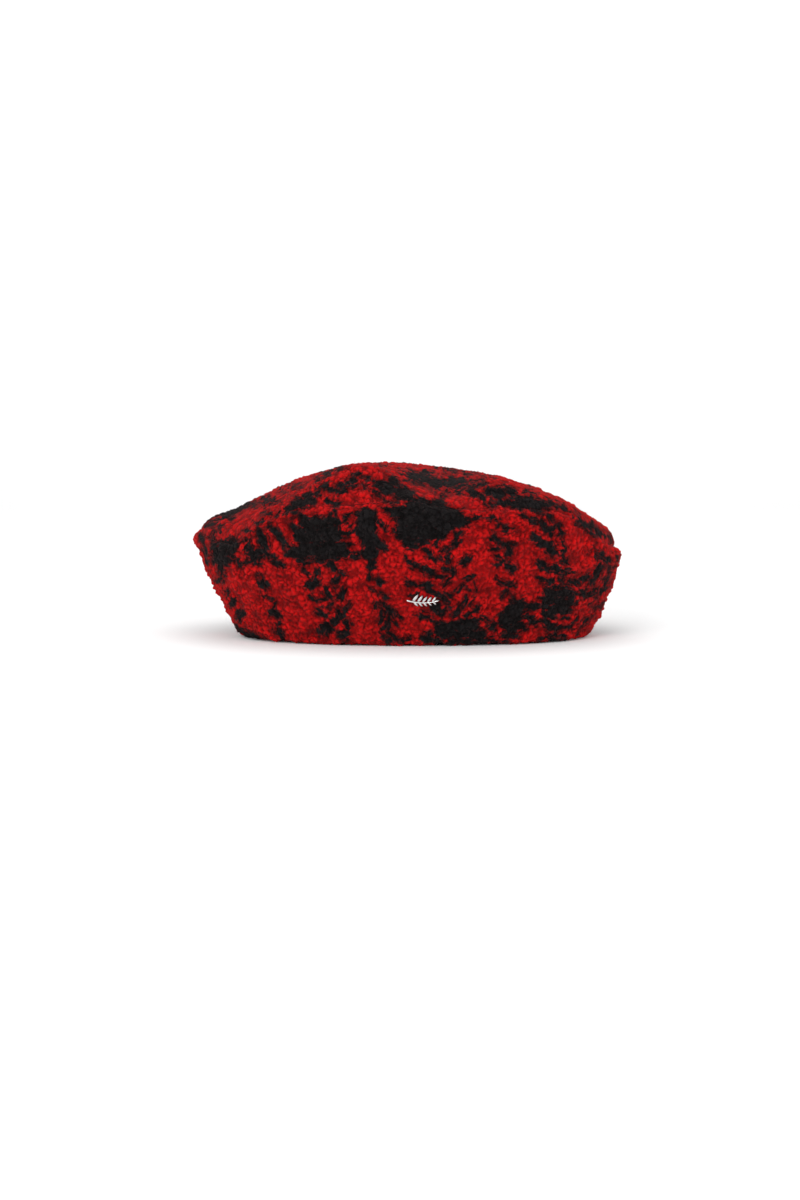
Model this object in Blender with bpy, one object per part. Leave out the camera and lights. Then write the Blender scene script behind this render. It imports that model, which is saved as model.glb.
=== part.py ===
"""A soft tam in pile cloth: a puffed oval crown sewn to a front and a back side panel, which turn under
to a hem at the head opening, and a small metal sprig pinned to the front.

Metres, +Z up. The tam stands on its hem, the front faces -Y, and the origin is under the middle of its box.
"""

import math

import bmesh
import bpy
import numpy as np
from mathutils import Matrix, Vector

# Overall sizes
HAT_WIDTH = 0.284
HAT_DEPTH = 0.220
CROWN_HEIGHT = 0.1155

# Head opening, outside the cloth
RIM_WIDTH = 0.228
RIM_DEPTH = 0.146
RIM_TO_RIGHT = 0.005
RIM_TO_FRONT = 0.010

# Cloth
CLOTH_THICKNESS = 0.0030
HEM_THICKNESS = 0.006
HEM_WIDTH = 0.020
HEM_ROUNDING = 0.002
PLAN_SQUARENESS = 2.3

# Seams: how far the cloth beside each one rounds over into its groove
PIECE_GAP = 0.0003
LIP_WIDTH = 0.0045
LIP_DROP_MIDDLE = 0.0020
LIP_DROP_ENDS = 0.0045
CROWN_EDGE_MIDDLE = 0.0035
CROWN_EDGE_ENDS = 0.0070
SIDE_SEAM_TO_FRONT = 0.044
SIDE_SEAM_GROOVE = 0.0018
SIDE_SEAM_ROUNDING = 0.0030

# Sprig pin
SPRIG_LENGTH = 0.0205
SPRIG_THICKNESS = 0.0012
SPRIG_RISE = 0.0016
STEM_WIDTH = 0.0011
LEAF_LENGTH = 0.0066
LEAF_WIDTH = 0.0021
LEAF_PAIRS = 5
LEAF_SLANT = math.radians(52)
SPRIG_TO_RIGHT = 0.0098
SPRIG_HEIGHT = 0.0293
PRONG_DIAMETER = 0.0010
PRONG_SPACING = 0.0120
PRONG_PAST_CLOTH = 0.0010
PRONG_SIDES = 8

# Mesh fineness, in columns between the roundings beside the side seams. The crown has the same columns.
FRONT_COLUMNS = 56
BACK_COLUMNS = 46

RED = (0.42, 0.012, 0.016, 1.0)
STEEL = (0.72, 0.72, 0.74, 1.0)

# The side's upright profile at the hat's left end, its middle and its right end: the share of the way up
# to the lip, and the shares of the way out to it. The right end bulges lower down than the left.
SIDE_PROFILE = [
    # up, out_left, out_middle, out_right
    (0.00, 0.000, 0.000, 0.000),
    (0.07, 0.150, 0.090, 0.150),
    (0.16, 0.240, 0.220, 0.265),
    (0.28, 0.355, 0.380, 0.415),
    (0.45, 0.530, 0.570, 0.590),
    (0.70, 0.775, 0.790, 0.795),
    (0.88, 0.895, 0.940, 0.930),
    (1.00, 1.000, 1.000, 1.000),
]

# Sections across the crown from left to right. across is a share of the seam's half width, and the rest
# are heights as shares of the crown's height: at the seam, at the crown's shoulder and along its middle.
# The front shoulder peaks left of the middle, sinks into a dent and rises again to a ridge on the right.
CROWN_SECTIONS = [
    # across, seam_front, shoulder_front, middle, shoulder_back, seam_back
    (-1.000, 0.590, 0.648, 0.648, 0.648, 0.590),
    (-0.820, 0.554, 0.651, 0.729, 0.692, 0.610),
    (-0.660, 0.692, 0.753, 0.822, 0.765, 0.641),
    (-0.480, 0.753, 0.866, 0.911, 0.831, 0.671),
    (-0.330, 0.768, 0.960, 0.959, 0.870, 0.684),
    (-0.240, 0.775, 1.000, 0.977, 0.886, 0.689),
    (-0.145, 0.783, 0.996, 0.984, 0.894, 0.693),
    (-0.040, 0.804, 0.931, 0.983, 0.897, 0.697),
    (0.075, 0.793, 0.858, 0.972, 0.892, 0.693),
    (0.200, 0.763, 0.836, 0.953, 0.876, 0.684),
    (0.300, 0.759, 0.877, 0.937, 0.860, 0.671),
    (0.410, 0.759, 0.925, 0.914, 0.835, 0.654),
    (0.600, 0.751, 0.835, 0.849, 0.775, 0.620),
    (0.770, 0.702, 0.762, 0.763, 0.708, 0.584),
    (0.880, 0.588, 0.671, 0.679, 0.653, 0.546),
    (1.000, 0.495, 0.580, 0.580, 0.580, 0.495),
]
# Where the shoulders run, as shares of the way from the crown's middle to its seam.
SHOULDER_FRONT_SHARE = 0.82
SHOULDER_BACK_SHARE = 0.80

# Rings of the crown from its centre to the start of its rounded edge, as shares of the way out.
CROWN_RINGS_OUT = (0.10, 0.22, 0.34, 0.46, 0.57, 0.67, 0.75, 0.82, 0.88, 0.93)
CROWN_RINGS_IN = (0.16, 0.34, 0.52, 0.68, 0.80, 0.90)
EDGE_ROUNDING_STEPS = 4
LIP_STEPS = 3
SIDE_ROWS_OUT = (0.05, 0.13, 0.23, 0.35, 0.48, 0.62, 0.75, 0.87, 1.0)
SIDE_ROWS_IN = (0.80, 0.60, 0.42)


def rising_curve(stations, values):
    """A smooth curve through the points that never overshoots them: monotone cubic, after Fritsch and Carlson."""
    x = np.array(stations, float)
    y = np.array(values, float)
    h = np.diff(x)
    slope = np.diff(y) / h
    bend = np.zeros(len(x))
    bend[0], bend[-1] = slope[0], slope[-1]
    turning = slope[:-1] * slope[1:] <= 0
    before, after = 2 * h[1:] + h[:-1], h[1:] + 2 * h[:-1]
    with np.errstate(divide="ignore", invalid="ignore"):
        mean = (before + after) / (before / slope[:-1] + after / slope[1:])
    bend[1:-1] = np.where(turning, 0.0, mean)

    def at(q):
        q = np.clip(np.asarray(q, float), x[0], x[-1])
        i = np.clip(np.searchsorted(x, q) - 1, 0, len(h) - 1)
        t = (q - x[i]) / h[i]
        rise = y[i] * (1 + 2 * t) * (1 - t) ** 2 + y[i + 1] * t**2 * (3 - 2 * t)
        return rise + h[i] * (bend[i] * t * (1 - t) ** 2 + bend[i + 1] * t**2 * (t - 1))

    return at


ACROSS, *HEIGHT_COLUMNS = zip(*CROWN_SECTIONS)
SEAM_FRONT, SHOULDER_FRONT_Z, MIDDLE_Z, SHOULDER_BACK_Z, SEAM_BACK = (
    rising_curve(ACROSS, [share * CROWN_HEIGHT for share in column]) for column in HEIGHT_COLUMNS
)
UP, *OUT_COLUMNS = zip(*SIDE_PROFILE)
OUT_LEFT, OUT_MIDDLE, OUT_RIGHT = (rising_curve(UP, column) for column in OUT_COLUMNS)

LIP_HALF_WIDTH, LIP_HALF_DEPTH = HAT_WIDTH / 2, HAT_DEPTH / 2
SEAM_HALF_WIDTH = LIP_HALF_WIDTH - LIP_WIDTH
SEAM_HALF_DEPTH = LIP_HALF_DEPTH - LIP_WIDTH


def plan_unit(angle):
    """A point of the unit plan curve, an ellipse made a little squarer."""
    power = 2 / PLAN_SQUARENESS
    c, s = math.cos(angle), math.sin(angle)
    return math.copysign(abs(c) ** power, c), math.copysign(abs(s) ** power, s)


def outward(angle):
    """The plan direction square to the lip's curve."""
    c, s = plan_unit(angle)
    power = PLAN_SQUARENESS - 1
    way = Vector(
        (
            math.copysign(abs(c) ** power, c) / LIP_HALF_WIDTH,
            math.copysign(abs(s) ** power, s) / LIP_HALF_DEPTH,
            0,
        )
    )
    return way.normalized()


def by_ends(across, middle, ends):
    """A size that grows from the middle of the hat's front and back to its left and right ends."""
    return middle + (ends - middle) * across**2


def seam_height(angle):
    across, along = plan_unit(angle)
    curve = SEAM_BACK if along > 0 else SEAM_FRONT
    return float(curve(across))


def seam_point(angle):
    across, along = plan_unit(angle)
    return Vector((SEAM_HALF_WIDTH * across, SEAM_HALF_DEPTH * along, seam_height(angle)))


def lip_point(angle):
    across, along = plan_unit(angle)
    drop = by_ends(across, LIP_DROP_MIDDLE, LIP_DROP_ENDS)
    return Vector((LIP_HALF_WIDTH * across, LIP_HALF_DEPTH * along, seam_height(angle) - drop))


def rim_point(angle):
    across, along = plan_unit(angle)
    return Vector((RIM_TO_RIGHT + RIM_WIDTH / 2 * across, RIM_DEPTH / 2 * along - RIM_TO_FRONT, 0))


def side_point(angle, up):
    """The side's outer face, from the rim at up = 0 to the lip at up = 1."""
    rim, lip = rim_point(angle), lip_point(angle)
    across, _ = plan_unit(angle)
    middle, end = OUT_MIDDLE(up), (OUT_LEFT if across < 0 else OUT_RIGHT)(up)
    point = rim.lerp(lip, float(middle + (end - middle) * abs(across) ** 3))
    point.z = lip.z * up
    return point


def crown_field(x, y):
    """The crown's height over a plan point, before its edge rounds over."""
    across = min(max(x / SEAM_HALF_WIDTH, -1), 1)
    reach = SEAM_HALF_DEPTH * max(1 - abs(across) ** PLAN_SQUARENESS, 1e-9) ** (1 / PLAN_SQUARENESS)
    edge = by_ends(across, CROWN_EDGE_MIDDLE, CROWN_EDGE_ENDS)
    section = rising_curve(
        (-1, -SHOULDER_FRONT_SHARE, 0, SHOULDER_BACK_SHARE, 1),
        (
            SEAM_FRONT(across) + edge,
            SHOULDER_FRONT_Z(across),
            MIDDLE_Z(across),
            SHOULDER_BACK_Z(across),
            SEAM_BACK(across) + edge,
        ),
    )
    return float(section(min(max(y / reach, -1), 1)))


def steepness(x, y):
    """How much longer the crown's cloth is than its plan here, which is also its wall's height over its thickness."""
    step = 0.001
    along_x = (crown_field(x + step, y) - crown_field(x - step, y)) / (2 * step)
    along_y = (crown_field(x, y + step) - crown_field(x, y - step)) / (2 * step)
    return min(math.hypot(1, along_x, along_y), 1.5)


def new_object(name, mesh, colour, metallic, roughness):
    material = bpy.data.materials.new(name)
    material.use_nodes = True
    shader = material.node_tree.nodes["Principled BSDF"]
    shader.inputs["Base Color"].default_value = colour
    shader.inputs["Metallic"].default_value = metallic
    shader.inputs["Roughness"].default_value = roughness
    mesh.materials.append(material)
    mesh.shade_smooth()
    mesh.set_sharp_from_angle(angle=math.radians(50))
    made = bpy.data.objects.new(name, mesh)
    bpy.context.scene.collection.objects.link(made)
    return made


def ladder_cap(shape, ring, top):
    """Closes a tall outline with triangles between its outer side, up to the point numbered top, and its inner
    side, so that the caps of two panels that meet at a seam stay a gap apart."""
    outer, inner = 0, len(ring) - 1
    while outer < top or inner > top + 1:
        outer_next = ring[outer + 1].co.z if outer < top else math.inf
        inner_next = ring[inner - 1].co.z if inner > top + 1 else math.inf
        if outer_next <= inner_next:
            shape.faces.new((ring[outer], ring[outer + 1], ring[inner]))
            outer += 1
        else:
            shape.faces.new((ring[outer], ring[inner - 1], ring[inner]))
            inner -= 1


def loft(name, sections, top=None):
    """A closed mesh through sections of equally many points. Rings that narrow to a point at each end need no
    caps. Otherwise the first and the last section are capped: flat, or as a ladder where top is given."""
    shape = bmesh.new()
    rings = [[shape.verts.new(point) for point in section] for section in sections]
    for ring, following in zip(rings, rings[1:]):
        count = max(len(ring), len(following))
        for i in range(count):
            j = (i + 1) % count
            if len(ring) == 1:
                shape.faces.new((ring[0], following[i], following[j]))
            elif len(following) == 1:
                shape.faces.new((ring[i], following[0], ring[j]))
            else:
                shape.faces.new((ring[i], following[i], following[j], ring[j]))
    for ring in (rings[0], rings[-1]):
        if len(ring) > 1 and top is None:
            shape.faces.new(ring)
        elif len(ring) > 1:
            ladder_cap(shape, ring, top)
    bmesh.ops.recalc_face_normals(shape, faces=shape.faces)
    mesh = bpy.data.meshes.new(name)
    shape.to_mesh(mesh)
    shape.free()
    return mesh


def panel_angles(first, last, columns):
    """A side panel's columns from one side seam to the other, closer together where it rounds into each."""
    radius = (LIP_HALF_WIDTH + LIP_HALF_DEPTH) / 2
    gap = PIECE_GAP / 2 / radius
    rounding = SIDE_SEAM_ROUNDING / radius
    near = [gap + rounding * share for share in (0.0, 0.25, 0.6)]
    middle = np.linspace(first + gap + rounding, last - gap - rounding, columns)
    return [first + step for step in near] + list(middle) + [last - step for step in reversed(near)]


def side_seam_angles():
    """The plan angles of the right and left side seams, a stated way in front of the hat's middle."""
    power = PLAN_SQUARENESS / 2
    right = -math.asin((SIDE_SEAM_TO_FRONT / LIP_HALF_DEPTH) ** power)
    return right, -math.pi - right


def crown_angles():
    """The crown's columns: both panels' own, with one for the two that meet at each side seam."""
    right, left = side_seam_angles()
    front = panel_angles(left, right, FRONT_COLUMNS)[1:-1]
    back = panel_angles(right, left + 2 * math.pi, BACK_COLUMNS)[1:-1]
    return [left, *front, right, *back]


def crown_sections():
    """Rings from the top's centre over the edge, across the seam's face and back under to the inside's centre."""
    angles = crown_angles()
    sections = [[(0, 0, crown_field(0, 0))]]
    for share in CROWN_RINGS_OUT:
        ring = []
        for angle in angles:
            across, along = plan_unit(angle)
            x, y = share * SEAM_HALF_WIDTH * across, share * SEAM_HALF_DEPTH * along
            ring.append((x, y, crown_field(x, y)))
        sections.append(ring)
    for step in range(EDGE_ROUNDING_STEPS, -1, -1):
        turn = math.pi / 2 * step / EDGE_ROUNDING_STEPS
        ring = []
        for angle in angles:
            edge = by_ends(plan_unit(angle)[0], CROWN_EDGE_MIDDLE, CROWN_EDGE_ENDS)
            inset = edge * (1 - math.cos(turn))
            point = seam_point(angle) - outward(angle) * (PIECE_GAP + inset)
            x, y, _ = point
            ring.append((x, y, crown_field(x, y) - edge * (1 - math.sin(turn))))
        sections.append(ring)
    # The sewn edge stands on a mitred face, parallel to the side panels' own.
    ring = []
    for angle in angles:
        point = seam_point(angle) - outward(angle) * (PIECE_GAP + CLOTH_THICKNESS)
        point.z -= CLOTH_THICKNESS - PIECE_GAP
        ring.append(tuple(point))
    sections.append(ring)
    for share in reversed((*CROWN_RINGS_IN, 1.0)):
        ring = []
        for angle in angles:
            inner_edge = seam_point(angle) - outward(angle) * (PIECE_GAP + CLOTH_THICKNESS)
            x, y = share * inner_edge.x, share * inner_edge.y
            ring.append((x, y, crown_field(x, y) - CLOTH_THICKNESS * steepness(x, y)))
        sections.append(ring)
    sections.append([(0, 0, crown_field(0, 0) - CLOTH_THICKNESS)])
    return sections


def side_outline(angle, sunk):
    """The side panel's closed outline at one angle: rim, outer face, lip, sewn edge, inner face and hem.
    sunk is how far the outer face lies in here towards the groove of a side seam."""
    out = outward(angle)
    seam, lip = seam_point(angle), lip_point(angle)
    rim = side_point(angle, 0)
    outline = [
        rim - out * (HEM_ROUNDING + sunk),
        rim - out * (HEM_ROUNDING * 0.3 + sunk) + Vector((0, 0, HEM_ROUNDING * 0.3)),
    ]
    outline += [side_point(angle, up) - out * sunk for up in SIDE_ROWS_OUT]
    for step in range(1, LIP_STEPS + 1):
        turn = math.pi / 2 * step / LIP_STEPS
        point = seam.lerp(lip, math.cos(turn))
        point.z = lip.z + (seam.z - lip.z) * math.sin(turn)
        outline.append(point - out * sunk * math.cos(turn))
    outline.append(seam - out * CLOTH_THICKNESS - Vector((0, 0, CLOTH_THICKNESS)))
    outline += [side_point(angle, up) - out * CLOTH_THICKNESS * 1.1 for up in SIDE_ROWS_IN]
    for height, thickness in (
        (HEM_WIDTH + HEM_THICKNESS / 2, CLOTH_THICKNESS * 1.1),
        (HEM_WIDTH, HEM_THICKNESS),
        (HEM_WIDTH / 2, HEM_THICKNESS),
        (HEM_ROUNDING, HEM_THICKNESS),
    ):
        outline.append(side_point(angle, height / lip.z) - out * thickness)
    outline.append(rim - out * (HEM_THICKNESS - HEM_ROUNDING))
    return outline


def side_sections(first, last, columns):
    """A panel's outlines from one side seam to the other, sinking into the groove of each."""
    radius = (LIP_HALF_WIDTH + LIP_HALF_DEPTH) / 2
    gap = PIECE_GAP / 2 / radius
    rounding = SIDE_SEAM_ROUNDING / radius
    sections = []
    for angle in panel_angles(first, last, columns):
        apart = min(angle - first, last - angle) - gap
        share = min(max(apart / rounding, 0), 1)
        sunk = SIDE_SEAM_GROOVE * (1 - math.sqrt(1 - (1 - share) ** 2))
        sections.append(side_outline(angle, sunk))
    return sections


def make_crown():
    mesh = loft("crown", crown_sections())
    return new_object("crown", mesh, RED, 0.0, 0.95)


def make_sides():
    right, left = side_seam_angles()
    top = 1 + len(SIDE_ROWS_OUT) + LIP_STEPS
    front = loft("side_front", side_sections(left, right, FRONT_COLUMNS), top)
    back = loft("side_back", side_sections(right, left + 2 * math.pi, BACK_COLUMNS), top)
    return new_object("side_front", front, RED, 0.0, 0.95), new_object("side_back", back, RED, 0.0, 0.95)


def sprig_frame():
    """Where the sprig lies: its centre on the cloth, with X along it, Y up the cloth and Z out of it."""
    step = 1e-4

    def on_cloth(x, height):
        low, high = -math.pi, 0.0
        for _ in range(40):
            angle = (low + high) / 2
            point = side_point(angle, height / lip_point(angle).z)
            low, high = (angle, high) if point.x < x else (low, angle)
        return point

    centre = on_cloth(SPRIG_TO_RIGHT, SPRIG_HEIGHT)
    along = (on_cloth(SPRIG_TO_RIGHT + step, SPRIG_HEIGHT) - centre).normalized()
    upward = on_cloth(SPRIG_TO_RIGHT, SPRIG_HEIGHT + step) - centre
    out = along.cross(upward).normalized()
    upward = out.cross(along)
    turned = Matrix((along, upward, out)).transposed().to_4x4()
    return Matrix.Translation(centre) @ turned


def lens(length, width, thickness, points=10):
    """A pointed leaf, flat at the back and crowned at the front, from its base at the origin along +X."""
    shape = bmesh.new()
    outline = []
    for i in range(points):
        turn = 2 * math.pi * i / points
        x = length / 2 * (1 - math.cos(turn))
        y = width / 2 * math.sin(turn) * abs(math.sin(turn)) ** 0.35
        outline.append((x, y))
    back = [shape.verts.new((x, y, 0)) for x, y in outline]
    face = [shape.verts.new((x, y, thickness * 0.35)) for x, y in outline]
    ridge = shape.verts.new((length * 0.45, 0, thickness))
    shape.faces.new(reversed(back))
    for i in range(points):
        j = (i + 1) % points
        shape.faces.new((back[i], back[j], face[j], face[i]))
        shape.faces.new((face[i], face[j], ridge))
    bmesh.ops.recalc_face_normals(shape, faces=shape.faces)
    mesh = bpy.data.meshes.new("leaf")
    shape.to_mesh(mesh)
    shape.free()
    return mesh


def stem_height(x):
    """The stem's gentle arch over the sprig's length."""
    return SPRIG_RISE * (x / (SPRIG_LENGTH / 2)) ** 2


def rod(name, sides, radius, start, end):
    """A straight round bar from one point to another, as a helper object."""
    mesh = bpy.data.meshes.new(name)
    shape = bmesh.new()
    bmesh.ops.create_cone(
        shape,
        cap_ends=True,
        segments=sides,
        radius1=radius,
        radius2=radius,
        depth=(end - start).length,
    )
    shape.to_mesh(mesh)
    shape.free()
    turn = (end - start).to_track_quat("Z", "Y").to_matrix().to_4x4()
    return helper(name, mesh, Matrix.Translation((start + end) / 2) @ turn)


def helper(name, mesh, place):
    made = bpy.data.objects.new(name, mesh)
    made.matrix_world = place
    made.hide_render = True
    made.display_type = "WIRE"
    bpy.context.scene.collection.objects.link(made)
    return made


def boolean(target, other, operation):
    modifier = target.modifiers.new(other.name, "BOOLEAN")
    modifier.object = other
    modifier.operation = operation


def prong_line(side):
    """Both ends of a prong in the sprig's own frame, from inside the stem to just past the cloth."""
    x = side * PRONG_SPACING / 2
    top = Vector((x, stem_height(x), PIECE_GAP + SPRIG_THICKNESS / 2))
    return top, Vector((x, stem_height(x), -CLOTH_THICKNESS * 1.1 - PRONG_PAST_CLOTH))


def stem_mesh():
    """The arched stem, a tapering bar of eight-sided section."""
    steps, sides = 14, 8
    sections = []
    for i in range(steps + 1):
        x = SPRIG_LENGTH * (0.96 * i / steps - 0.5)
        radius = STEM_WIDTH / 2 * (1 - 0.45 * i / steps)
        ring = []
        for j in range(sides):
            turn = 2 * math.pi * (j + 0.5) / sides
            rise = PIECE_GAP + SPRIG_THICKNESS * 0.45 * (1 + math.sin(turn))
            ring.append((x, stem_height(x) + radius * math.cos(turn), rise))
        sections.append(ring)
    return loft("pin_sprig", sections)


def leaf_places():
    """Each leaf's root, turn and size along the stem: pairs of shrinking leaves, then one at the tip."""
    places = []
    for pair in range(LEAF_PAIRS):
        share = pair / (LEAF_PAIRS - 1)
        x = SPRIG_LENGTH * (-0.33 + 0.60 * share)
        size = 1 - 0.30 * share
        places.append((x, LEAF_SLANT, size))
        places.append((x + SPRIG_LENGTH * 0.035, -LEAF_SLANT * 0.9, size * 0.72))
    places.append((SPRIG_LENGTH * 0.34, math.radians(14), 0.55))
    return places


def make_sprig(side_front):
    """The pinned sprig: a stem with leaves and two prongs, which pass through holes in the front panel."""
    place = sprig_frame()
    sprig = new_object("pin_sprig", stem_mesh(), STEEL, 1.0, 0.25)
    sprig.matrix_world = place
    for i, (x, turn, size) in enumerate(leaf_places()):
        height = SPRIG_THICKNESS * (0.86 + 0.03 * (i % 4))
        leaf = lens(LEAF_LENGTH * size, LEAF_WIDTH * size, height)
        root = Matrix.Translation((x, stem_height(x), PIECE_GAP)) @ Matrix.Rotation(turn, 4, "Z")
        boolean(sprig, helper(f"leaf_cutter_{i}", leaf, place @ root), "UNION")
    for side in (-1, 1):
        top, end = prong_line(side)
        prong = rod(f"prong_{side}", PRONG_SIDES, PRONG_DIAMETER / 2, place @ top, place @ end)
        boolean(sprig, prong, "UNION")
        past = (end - top).normalized() * CLOTH_THICKNESS
        hole_radius = PRONG_DIAMETER / 2 + PIECE_GAP
        hole = rod(f"hole_{side}", PRONG_SIDES, hole_radius, place @ (top - past), place @ (end + past))
        boolean(side_front, hole, "DIFFERENCE")
    return sprig


def clear_scene():
    for found in list(bpy.data.objects):
        bpy.data.objects.remove(found)


def main():
    clear_scene()
    make_crown()
    side_front, _ = make_sides()
    make_sprig(side_front)


main()
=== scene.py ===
"""A soft tam in curly wool pile, in a large red and black check, resting on its hem on a pale floor."""

import math

import bpy
import numpy as np
from mathutils import Matrix, Vector, kdtree


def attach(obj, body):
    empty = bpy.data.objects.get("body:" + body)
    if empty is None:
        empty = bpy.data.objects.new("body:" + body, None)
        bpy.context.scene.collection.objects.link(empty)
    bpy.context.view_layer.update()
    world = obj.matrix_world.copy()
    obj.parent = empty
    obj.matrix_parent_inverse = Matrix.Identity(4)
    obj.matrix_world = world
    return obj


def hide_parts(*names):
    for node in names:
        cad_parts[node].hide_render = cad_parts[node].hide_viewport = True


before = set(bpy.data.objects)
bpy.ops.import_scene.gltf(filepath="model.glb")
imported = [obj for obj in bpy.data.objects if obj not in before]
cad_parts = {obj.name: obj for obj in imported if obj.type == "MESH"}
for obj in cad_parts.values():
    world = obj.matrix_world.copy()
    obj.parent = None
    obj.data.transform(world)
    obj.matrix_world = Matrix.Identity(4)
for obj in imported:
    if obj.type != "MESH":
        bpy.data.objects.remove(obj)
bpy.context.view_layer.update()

# Sizes shared with the solids, in metres
HAT_WIDTH = 0.284
HAT_DEPTH = 0.220
CROWN_HEIGHT = 0.1155
RIM_WIDTH = 0.228
RIM_DEPTH = 0.146
RIM_TO_RIGHT = 0.005
RIM_TO_FRONT = 0.010
CLOTH_THICKNESS = 0.0030
HEM_THICKNESS = 0.006
HEM_WIDTH = 0.020
PLAN_SQUARENESS = 2.3
PIECE_GAP = 0.0003
LIP_WIDTH = 0.0045
LIP_DROP_MIDDLE = 0.0020
LIP_DROP_ENDS = 0.0045
CROWN_EDGE_MIDDLE = 0.0035
CROWN_EDGE_ENDS = 0.0070
SIDE_SEAM_TO_FRONT = 0.044
SIDE_SEAM_ROUNDING = 0.0030
SPRIG_LENGTH = 0.0205
SPRIG_THICKNESS = 0.0012
SPRIG_RISE = 0.0016
STEM_WIDTH = 0.0011
LEAF_LENGTH = 0.0066
LEAF_WIDTH = 0.0021
LEAF_PAIRS = 5
LEAF_SLANT = math.radians(52)
SPRIG_TO_RIGHT = 0.0098
SPRIG_HEIGHT = 0.0293
PRONG_DIAMETER = 0.0010
PRONG_SPACING = 0.0120
PRONG_PAST_CLOTH = 0.0010

# Steps and sides of the sprig's mesh
LEAF_STEPS = 14
STEM_STEPS = 30
SPRIG_SIDES = 14

LIP_HALF = (HAT_WIDTH / 2, HAT_DEPTH / 2)
SEAM_HALF = (LIP_HALF[0] - LIP_WIDTH, LIP_HALF[1] - LIP_WIDTH)

SIDE_PROFILE = [
    # up, out_left, out_middle, out_right
    (0.00, 0.000, 0.000, 0.000),
    (0.07, 0.150, 0.090, 0.150),
    (0.16, 0.240, 0.220, 0.265),
    (0.28, 0.355, 0.380, 0.415),
    (0.45, 0.530, 0.570, 0.590),
    (0.70, 0.775, 0.790, 0.795),
    (0.88, 0.895, 0.940, 0.930),
    (1.00, 1.000, 1.000, 1.000),
]
CROWN_SECTIONS = [
    # across, seam_front, shoulder_front, middle, shoulder_back, seam_back
    (-1.000, 0.590, 0.648, 0.648, 0.648, 0.590),
    (-0.820, 0.554, 0.651, 0.729, 0.692, 0.610),
    (-0.660, 0.692, 0.753, 0.822, 0.765, 0.641),
    (-0.480, 0.753, 0.866, 0.911, 0.831, 0.671),
    (-0.330, 0.768, 0.960, 0.959, 0.870, 0.684),
    (-0.240, 0.775, 1.000, 0.977, 0.886, 0.689),
    (-0.145, 0.783, 0.996, 0.984, 0.894, 0.693),
    (-0.040, 0.804, 0.931, 0.983, 0.897, 0.697),
    (0.075, 0.793, 0.858, 0.972, 0.892, 0.693),
    (0.200, 0.763, 0.836, 0.953, 0.876, 0.684),
    (0.300, 0.759, 0.877, 0.937, 0.860, 0.671),
    (0.410, 0.759, 0.925, 0.914, 0.835, 0.654),
    (0.600, 0.751, 0.835, 0.849, 0.775, 0.620),
    (0.770, 0.702, 0.762, 0.763, 0.708, 0.584),
    (0.880, 0.588, 0.671, 0.679, 0.653, 0.546),
    (1.000, 0.495, 0.580, 0.580, 0.580, 0.495),
]
SHOULDER_FRONT_SHARE = 0.82
SHOULDER_BACK_SHARE = 0.80

# The view from the front
EYE_DISTANCE = 1.6
EYE_ELEVATION = math.radians(4.0)
EYE_TARGET_HEIGHT = 0.055
PHOTO_SCALE = 0.000667
PHOTO_ROWS = 1200
HAT_RIGHT_OF_MIDDLE = 0.0050
HAT_ABOVE_MIDDLE = 0.0328
# How far the hat's foot appears below the eye's target, in millimetres
FOOT_BELOW_TARGET = 61.5

# The pile, with the heights of tufts as shares of its depth
PILE_DEPTH = 0.0016
PILE_ABOVE_SOLID = 0.0003
TUFT_SPACING = 0.0027
TUFT_SIZES = (0.62, 1.0)
TUFT_FOOT = 0.12
TUFT_RISE = 0.74
TUFT_HIGHEST = 1.35
CLUMP_SPACING = 0.0056
CRACK_WIDTH = 0.0011
CRACK_DEPTH = 0.60
CROWN_PILE = 0.8
UNDER_SPRIG = (0.0120, 0.0050)
PILE_UNDER_SPRIG = 0.45

# The seams and the hem
SEAM_WAY_UP = 1.1
SEAM_FILL_MIDDLE = 1.1
SEAM_FILL_ENDS = 0.2
PILE_AT_SEAM_ENDS = 0.7
SIDE_SEAM_SHOWN = 0.0005
CROWN_EDGE_RINGS = 11
FOOT_ROUNDING = 0.0024
FOOT_SHARE = 0.03
HEM_LUMP_HEIGHT = 0.0017
HEM_LUMPS_UP_TO = 0.008

WAVES_IN_NOISE = 28
# Noise on the pile, in layers of (wavelength, size)
TUFT_BENDS = ((0.0042, 0.00060), (0.0022, 0.00016))
TUFT_CURLS = ((0.0025, 0.10), (0.0018, 0.03))
CLUMP_HEIGHTS = ((0.009, 0.20),)
CLOTH_SWAY = ((0.016, 0.00030),)
DYE_SHIFTS = ((0.0024, 0.00025), (0.0070, 0.00040))

# The stray hairs
HAIR_LENGTH = (0.0016, 0.0040)
HAIR_RADIUS = (0.00005, 0.00009)
HAIR_ROOT = 0.0005
HAIR_STEPS = 4
LONG_HAIRS = 0.02
LONG_HAIR = 1.9

# Columns and rows of each cloth's mesh, and its hairs
FRONT_GRID, BACK_GRID, CROWN_GRID = (500, 140), (600, 108), (380, 204)
FRONT_HAIRS, BACK_HAIRS, CROWN_HAIRS = 6000, 3000, 5500
HEM_ROWS = 18

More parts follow.
